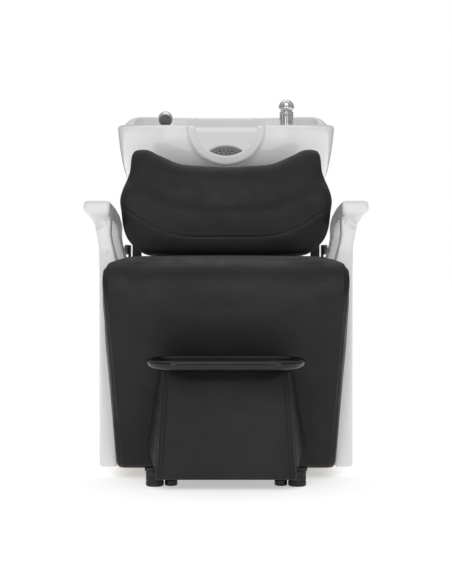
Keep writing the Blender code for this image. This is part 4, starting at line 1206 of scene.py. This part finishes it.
def build_mixer():
    """The single-lever mixer: a fluted body on a flange, and a domed lever."""
    place = Matrix.Translation((TAP_X, TAP_Y, 0.0))
    shoulder = LEVER_Z - 0.012
    flange = DECK_Z + GAP
    low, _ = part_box("mixer_body")
    profile = [
        (TAP_SHANK, low.z),
        (TAP_SHANK, flange),
        (0.026, flange),
        (0.026, flange + 0.003),
        (0.0215, flange + 0.0058),
        (0.0185, flange + 0.0062),
        (0.0185, flange + 0.0080),
        (0.0195, flange + 0.0088),
        (0.0195, shoulder - 0.0080),
        (0.0188, shoulder - 0.0074),
        (0.0188, shoulder - 0.0062),
        (0.0195, shoulder - 0.0056),
        (0.0195, shoulder - 0.0016),
        (0.0180, shoulder),
    ]
    body = turned("mixer_body_polished", softened(profile, 0.0006), place, 96)
    slots = []
    for angle in (-90, -55, -125):
        a = math.radians(angle)
        x, y = TAP_X + 0.0203 * math.cos(a), TAP_Y + 0.0203 * math.sin(a)
        slots.append(rod("mixer_flute", (x, y, flange + 0.013), (x, y, shoulder - 0.012), 0.0021, 16))
    cut(body, *slots)
    put(body, "chrome", "bowl", "mixer_body", sharp=40)
    hub_low = (shoulder + GAP) - LEVER_Z
    steps = [hub_low + (0.010 - hub_low) * i / 16 for i in range(17)]
    curve = [(math.sqrt(HUB_RADIUS**2 - h**2), LEVER_Z + h) for h in steps]
    hub = turned("mixer_hub_polished", curve, place)
    put(hub, "chrome", "mixer_hub", "mixer_hub", sharp=40)
    dome = arc((0.0, LEVER_Z), DOME_RADIUS, -7.8, 88, 26)
    lever = turned("mixer_lever_polished", dome, place, 96)
    socket = arc((0.0, LEVER_Z), SOCKET_RADIUS, -57, 89, 20)
    blade_z = LEVER_Z + 0.0075
    start = (TAP_X, TAP_Y + 0.012, blade_z)
    end = (TAP_X, TAP_Y + 0.062, blade_z)
    blade = rod("lever_blade", start, end, BLADE_RADIUS)
    widen = Matrix.Diagonal((BLADE_WIDENING, 1, 1, 1))
    blade.data.transform(Matrix.Translation((TAP_X, 0, 0)) @ widen @ Matrix.Translation((-TAP_X, 0, 0)))
    join(lever, blade)
    cut(lever, turned("lever_socket", socket, place, 72))
    split_centre = (TAP_X, TAP_Y - 0.0255, LEVER_Z + 0.005)
    cut(lever, block("lever_split", split_centre, (0.0016, 0.010, 0.034)))
    put(lever, "chrome", "mixer_lever", "mixer_lever", sharp=35)


def build_shower():
    """The hand shower in its sleeve, with a pierced spray face."""
    x = -TAP_X
    place = Matrix.Translation((x, TAP_Y, 0.0))
    flange = DECK_Z + GAP
    bore = 0.0115
    low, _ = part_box("shower_holder")
    profile = [
        (bore, low.z),
        (TAP_SHANK, low.z),
        (TAP_SHANK, flange),
        (0.024, flange),
        (0.024, flange + 0.0028),
        (0.0190, flange + 0.0055),
        (0.0165, flange + 0.0060),
        (bore, flange + 0.0060),
    ]
    sleeve = turned("shower_sleeve", profile, place, 96, hollow=True)
    put(sleeve, "chrome", "bowl", "shower_holder", sharp=40)
    tilt = math.radians(52)
    way = Vector((0.0, -math.sin(tilt), -math.cos(tilt)))
    neck = Vector((x, TAP_Y, 0.902))
    head = along(neck - way * 0.014, neck + way)
    crown = [(0.001, 0.0), (0.006, 0.0004), (0.0135, 0.0028), (0.0180, 0.0075), (0.0200, 0.0120)]
    crown += [(0.0205, 0.0160), (0.0205, 0.0240), (0.0200, 0.0256), (0.0195, 0.0260)]
    foot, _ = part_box("hand_shower")
    grip = [
        (0.0080, foot.z),
        (0.0110, foot.z + 0.006),
        (0.0110, 0.880),
        (0.0110, neck.z - 0.006),
        (0.0040, neck.z - 0.002),
    ]
    shower = turned("hand_shower_polished", softened(grip, 0.002), place, 64)
    join(shower, turned("shower_crown", crown, head, 96))
    cut(shower, turned("spray_recess", [(0.0188, 0.0235), (0.0188, 0.040)], head, 72))
    put(shower, "chrome", "hand_shower", "hand_shower", sharp=40)
    plate = [(0.0183, 0.0238), (0.0185, 0.0258), (0.0172, 0.0270), (0.0150, 0.0266), (0.0005, 0.0266)]
    face = turned("spray_plate", plate, head, 72)
    nozzles = bmesh.new()
    for radius, count in ((0.0125, 18), (0.0085, 12), (0.0045, 6)):
        for i in range(count):
            angle = 2 * math.pi * i / count
            spot = head @ Vector((radius * math.cos(angle), radius * math.sin(angle), 0.0269))
            there = Matrix.Translation(spot)
            bmesh.ops.create_icosphere(nozzles, subdivisions=2, radius=0.0009, matrix=there)
    join(face, solid("nozzles", nozzles))
    put(face, "grey_plastic", "hand_shower", "spray_face", sharp=35)


def build_foot(node, shares, finish):
    low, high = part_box(node)
    radius = (high.x - low.x) / 2
    height = high.z - low.z
    place = Matrix.Translation(((low.x + high.x) / 2, (low.y + high.y) / 2, low.z))
    profile = softened([(r * radius, h * height) for r, h in shares], 0.001, 2)
    put(turned(f"{node}_turned", profile, place, 64), finish, "base", node, sharp=45)


def build_feet():
    """The ribbed rubber feet and the two turned levelling glides."""
    for node in sorted(frame["nodes"]):
        if node.startswith("rubber_foot"):
            build_foot(node, FOOT_RIBS, "black_rubber")
        elif node.startswith("levelling_glide"):
            build_foot(node, GLIDE_TURNING, "black_gloss")


def finish_frame():
    """Gives every carried-over frame node the finish of its record slot."""
    for part in frame["record"]["subparts"]:
        node = frame["nodes"][part["node"]]
        if node.hide_render:
            continue
        finish = FINISHES.made(part["material_slot"])
        if not node.material_slots:
            node.data.materials.append(finish)
        for slot in node.material_slots:
            slot.material = finish


def area_light(name, place, target, size, energy):
    light = bpy.data.lights.new(name, "AREA")
    light.shape = "RECTANGLE"
    light.size, light.size_y = size
    light.energy = energy
    lamp = bpy.data.objects.new(name, light)
    bpy.context.scene.collection.objects.link(lamp)
    lamp.location = place
    lamp.rotation_euler = (Vector(target) - Vector(place)).to_track_quat("-Z", "Y").to_euler()


def build_stage(looks):
    """A pale floor, a white surround, soft lights and the camera."""
    scene = bpy.context.scene
    for name in ("Cube", "Light", "Camera"):
        if name in bpy.data.objects:
            bpy.data.objects.remove(bpy.data.objects[name])
    bm = bmesh.new()
    bmesh.ops.create_grid(bm, x_segments=8, y_segments=8, size=30.0)
    mesh = bpy.data.meshes.new("studio_floor")
    bm.to_mesh(mesh)
    bm.free()
    floor = bpy.data.objects.new("studio_floor", mesh)
    scene.collection.objects.link(floor)
    surface = Surface("studio_floor")
    pale = tuple(looks.floor_colour)
    surface.tint(surface.noise(1.5, 2.0), tuple(c * 0.995 for c in pale), pale)
    surface.gloss(surface.noise(3.0, 2.0), 0.80, 0.90)
    surface.uniform("Specular IOR Level", 0.1)
    surface.uniform("Emission Color", (1.0, 1.0, 1.0, 1.0))
    surface.uniform("Emission Strength", looks.floor_glow)
    mesh.materials.append(surface.material)
    world = bpy.data.worlds.new("studio_surround")
    scene.world = world
    world.use_nodes = True
    nodes, links = world.node_tree.nodes, world.node_tree.links
    background = nodes["Background"]
    background.inputs["Color"].default_value = (1.0, 1.0, 1.0, 1.0)
    direction = nodes.new("ShaderNodeTexCoord")
    split = nodes.new("ShaderNodeSeparateXYZ")
    links.new(direction.outputs["Generated"], split.inputs["Vector"])
    lift = nodes.new("ShaderNodeMapRange")
    lift.inputs["From Min"].default_value = 0.0
    lift.inputs["From Max"].default_value = 0.9
    lift.inputs["To Min"].default_value = looks.surround_low
    lift.inputs["To Max"].default_value = looks.surround_high
    links.new(split.outputs["Z"], lift.inputs["Value"])
    seen = nodes.new("ShaderNodeLightPath")
    mix = nodes.new("ShaderNodeMix")
    mix.inputs["B"].default_value = 1.0
    links.new(seen.outputs["Is Camera Ray"], mix.inputs["Factor"])
    links.new(lift.outputs["Result"], mix.inputs["A"])
    links.new(mix.outputs["Result"], background.inputs["Strength"])
    sun = bpy.data.lights.new("soft_key", "SUN")
    sun.energy = looks.key_power
    sun.angle = math.radians(40)
    key = bpy.data.objects.new("soft_key", sun)
    scene.collection.objects.link(key)
    key.rotation_euler = Vector((0.06, 0.75, -0.65)).to_track_quat("-Z", "Y").to_euler()
    for side, sign in SIDES:
        place = (sign * 1.0, -3.0, 0.7)
        area_light(f"{side}_softbox", place, (0, 0, 0.4), (0.8, 1.6), looks.side_power)
    area_light("top_softbox", (0.0, 1.0, 2.4), (0, 0.3, 0.7), (1.6, 0.8), looks.top_power)
    lens = bpy.data.cameras.new("studio_camera")
    lens.lens = looks.focal_length
    lens.sensor_width = 36.0
    camera = bpy.data.objects.new("studio_camera", lens)
    scene.collection.objects.link(camera)
    camera.location = (0.0, -looks.camera_distance, looks.camera_height)
    camera.rotation_euler = (math.pi / 2 - looks.camera_tilt, 0.0, 0.0)
    scene.camera = camera
    scene.view_settings.view_transform = "Standard"


class BackwashUpholstery(bpy.types.PropertyGroup):
    """Sizes and looks of the upholstered pads."""

    leather_colour: FloatVectorProperty(
        name="Leather colour",
        description="Darkest colour of the imitation leather",
        subtype="COLOR",
        size=3,
        min=0.0,
        max=1.0,
        default=(0.0095, 0.0095, 0.0100),
    )
    leather_roughness: FloatProperty(
        name="Leather roughness",
        description="How matt the leather is",
        min=0.2,
        max=0.9,
        default=0.46,
    )
    grain_size: FloatProperty(
        name="Grain size",
        description="Width of one pebble of the leather grain",
        unit="LENGTH",
        min=0.0008,
        max=0.006,
        default=0.0019,
        precision=4,
    )
    seat_swell: FloatProperty(
        name="Seat swell",
        description="Room that the filling of the seat takes up",
        unit="LENGTH",
        min=0.0,
        max=0.012,
        default=0.004,
        precision=4,
    )
    back_swell: FloatProperty(
        name="Backrest swell",
        description="Room that the filling of the backrest takes up",
        unit="LENGTH",
        min=0.0,
        max=0.012,
        default=0.0035,
        precision=4,
    )
    fold_depth: FloatProperty(
        name="Fold depth",
        description="Depth of the folds across the backrest",
        unit="LENGTH",
        min=0.0,
        max=0.02,
        default=0.010,
        precision=4,
    )
    seam_inset: FloatProperty(
        name="Seam inset",
        description="Distance from the seat's side edge to its seam",
        unit="LENGTH",
        min=0.005,
        max=0.04,
        default=0.014,
        precision=4,
    )
    stitch_spacing: FloatProperty(
        name="Stitch spacing",
        description="Distance from one stitch to the next",
        unit="LENGTH",
        min=0.003,
        max=0.012,
        default=0.0052,
        precision=4,
    )
    seat_cell: FloatProperty(
        name="Seat cell",
        description="Cell size of the net over the seat pad",
        unit="LENGTH",
        min=0.004,
        max=0.012,
        default=0.006,
        precision=4,
    )
    pad_cell: FloatProperty(
        name="Backrest cell",
        description="Cell size of the net over the backrest pad",
        unit="LENGTH",
        min=0.003,
        max=0.010,
        default=0.005,
        precision=4,
    )
    thin_pad_cell: FloatProperty(
        name="Thin pad cell",
        description="Cell size of the net over the footrest pads",
        unit="LENGTH",
        min=0.003,
        max=0.010,
        default=0.0045,
        precision=4,
    )


class BackwashMouldings(bpy.types.PropertyGroup):
    """Sizes and looks of the white mouldings."""

    plastic_colour: FloatVectorProperty(
        name="Plastic colour",
        description="Colour of the white mouldings",
        subtype="COLOR",
        size=3,
        min=0.0,
        max=1.0,
        default=(0.80, 0.80, 0.795),
    )
    shell_cell: FloatProperty(
        name="Moulding cell",
        description="Cell size of the net over the side mouldings",
        unit="LENGTH",
        min=0.002,
        max=0.008,
        default=0.0035,
        precision=4,
    )


class BackwashBasin(bpy.types.PropertyGroup):
    """Sizes and looks of the basin."""

    glaze_colour: FloatVectorProperty(
        name="Glaze colour",
        description="Colour of the glazed basin",
        subtype="COLOR",
        size=3,
        min=0.0,
        max=1.0,
        default=(0.84, 0.84, 0.835),
    )
    bowl_cell: FloatProperty(
        name="Basin cell",
        description="Cell size of the net over the basin",
        unit="LENGTH",
        min=0.002,
        max=0.008,
        default=0.003,
        precision=4,
    )


class BackwashStudio(bpy.types.PropertyGroup):
    """The floor, the lights and the camera."""

    floor_colour: FloatVectorProperty(
        name="Floor colour",
        description="Colour of the studio floor",
        subtype="COLOR",
        size=3,
        min=0.0,
        max=1.0,
        default=(0.92, 0.92, 0.92),
    )
    floor_glow: FloatProperty(
        name="Floor glow",
        description="Light from under the translucent studio floor",
        min=0.0,
        max=2.0,
        default=0.45,
    )
    surround_low: FloatProperty(
        name="Surround at the horizon",
        description="Light from the surround, low down",
        min=0.0,
        max=2.0,
        default=0.30,
    )
    surround_high: FloatProperty(
        name="Surround overhead",
        description="Light from the surround, overhead",
        min=0.0,
        max=2.0,
        default=0.64,
    )
    key_power: FloatProperty(
        name="Key light",
        description="Strength of the soft key light",
        min=0.0,
        max=10.0,
        default=0.6,
    )
    side_power: FloatProperty(
        name="Side softboxes",
        description="Power of each side softbox",
        subtype="POWER",
        min=0.0,
        max=200.0,
        default=5.0,
    )
    top_power: FloatProperty(
        name="Top softbox",
        description="Power of the softbox above the basin",
        subtype="POWER",
        min=0.0,
        max=200.0,
        default=3.0,
    )
    focal_length: FloatProperty(
        name="Focal length",
        description="Focal length of the camera, in millimetres",
        unit="CAMERA",
        min=20.0,
        max=200.0,
        default=84.1,
    )
    camera_distance: FloatProperty(
        name="Camera distance",
        description="Distance of the camera in front of the unit's middle",
        unit="LENGTH",
        min=1.0,
        max=10.0,
        default=3.44,
    )
    camera_height: FloatProperty(
        name="Camera height",
        description="Height of the camera above the floor",
        unit="LENGTH",
        min=0.1,
        max=3.0,
        default=0.467,
    )
    camera_tilt: FloatProperty(
        name="Camera tilt",
        description="How far the camera looks down",
        subtype="ANGLE",
        min=-0.5,
        max=0.5,
        default=0.0161,
    )


class BACKWASH_OT_seat(bpy.types.Operator):
    """Build the seat pad and its stitching"""

    bl_idname = "backwash.seat"
    bl_label = "Seat pad"

    def execute(self, context):
        build_seat(context.scene.backwash_upholstery)
        return {"FINISHED"}


class BACKWASH_OT_backrest(bpy.types.Operator):
    """Build the backrest pad with its fold and seam"""

    bl_idname = "backwash.backrest"
    bl_label = "Backrest pad"

    def execute(self, context):
        build_backrest(context.scene.backwash_upholstery)
        return {"FINISHED"}


class BACKWASH_OT_footrest(bpy.types.Operator):
    """Build the footrest pads"""

    bl_idname = "backwash.footrest"
    bl_label = "Footrest pads"

    def execute(self, context):
        build_footrest(context.scene.backwash_upholstery)
        return {"FINISHED"}


class BACKWASH_OT_tray(bpy.types.Operator):
    """Build the footrest tray"""

    bl_idname = "backwash.tray"
    bl_label = "Footrest tray"

    def execute(self, context):
        build_tray()
        return {"FINISHED"}


class BACKWASH_OT_side_shells(bpy.types.Operator):
    """Build the side mouldings and the plugs at the rear of the arms"""

    bl_idname = "backwash.side_shells"
    bl_label = "Side mouldings"

    def execute(self, context):
        build_side_shells(context.scene.backwash_mouldings)
        return {"FINISHED"}


class BACKWASH_OT_bowl(bpy.types.Operator):
    """Build the glazed basin"""

    bl_idname = "backwash.bowl"
    bl_label = "Basin"

    def execute(self, context):
        build_bowl(context.scene.backwash_basin)
        return {"FINISHED"}


class BACKWASH_OT_strainer(bpy.types.Operator):
    """Build the pierced strainer"""

    bl_idname = "backwash.strainer"
    bl_label = "Strainer"

    def execute(self, context):
        build_strainer()
        return {"FINISHED"}


class BACKWASH_OT_mixer(bpy.types.Operator):
    """Build the single-lever mixer"""

    bl_idname = "backwash.mixer"
    bl_label = "Mixer"

    def execute(self, context):
        build_mixer()
        return {"FINISHED"}


class BACKWASH_OT_shower(bpy.types.Operator):
    """Build the hand shower and its sleeve"""

    bl_idname = "backwash.shower"
    bl_label = "Hand shower"

    def execute(self, context):
        build_shower()
        return {"FINISHED"}


class BACKWASH_OT_feet(bpy.types.Operator):
    """Build the rubber feet and the levelling glides"""

    bl_idname = "backwash.feet"
    bl_label = "Feet"

    def execute(self, context):
        build_feet()
        return {"FINISHED"}


class BACKWASH_OT_frame_finish(bpy.types.Operator):
    """Finish the boards, covers, tubes and fittings of the frame"""

    bl_idname = "backwash.frame_finish"
    bl_label = "Frame finishes"

    def execute(self, context):
        finish_frame()
        return {"FINISHED"}


class BACKWASH_OT_stage(bpy.types.Operator):
    """Build the studio floor, the lights and the camera"""

    bl_idname = "backwash.stage"
    bl_label = "Studio"

    def execute(self, context):
        build_stage(context.scene.backwash_studio)
        return {"FINISHED"}


STEPS = (
    BACKWASH_OT_stage,
    BACKWASH_OT_seat,
    BACKWASH_OT_backrest,
    BACKWASH_OT_footrest,
    BACKWASH_OT_tray,
    BACKWASH_OT_side_shells,
    BACKWASH_OT_bowl,
    BACKWASH_OT_strainer,
    BACKWASH_OT_mixer,
    BACKWASH_OT_shower,
    BACKWASH_OT_feet,
    BACKWASH_OT_frame_finish,
)


class BACKWASH_PT_panel(bpy.types.Panel):
    """Lists the pieces and their sizes"""

    bl_label = "Backwash unit"
    bl_idname = "BACKWASH_PT_panel"
    bl_space_type = "VIEW_3D"
    bl_region_type = "UI"
    bl_category = "Backwash"

    def draw(self, context):
        for group in GROUPS:
            box = self.layout.box()
            looks = getattr(context.scene, group)
            for field in looks.bl_rna.properties:
                if field.identifier not in ("rna_type", "name"):
                    box.prop(looks, field.identifier)
        for step in STEPS:
            self.layout.operator(step.bl_idname)


GROUPS = {
    "backwash_upholstery": BackwashUpholstery,
    "backwash_mouldings": BackwashMouldings,
    "backwash_basin": BackwashBasin,
    "backwash_studio": BackwashStudio,
}


def register():
    for group, kind in GROUPS.items():
        bpy.utils.register_class(kind)
        setattr(bpy.types.Scene, group, PointerProperty(type=kind))
    for kind in (*STEPS, BACKWASH_PT_panel):
        bpy.utils.register_class(kind)


def unregister():
    for kind in (BACKWASH_PT_panel, *reversed(STEPS)):
        bpy.utils.unregister_class(kind)
    for group, kind in GROUPS.items():
        delattr(bpy.types.Scene, group)
        bpy.utils.unregister_class(kind)


def main():
    register()
    for step in STEPS:
        family, action = step.bl_idname.split(".")
        getattr(getattr(bpy.ops, family), action)()


if __name__ == "__main__":
    main()
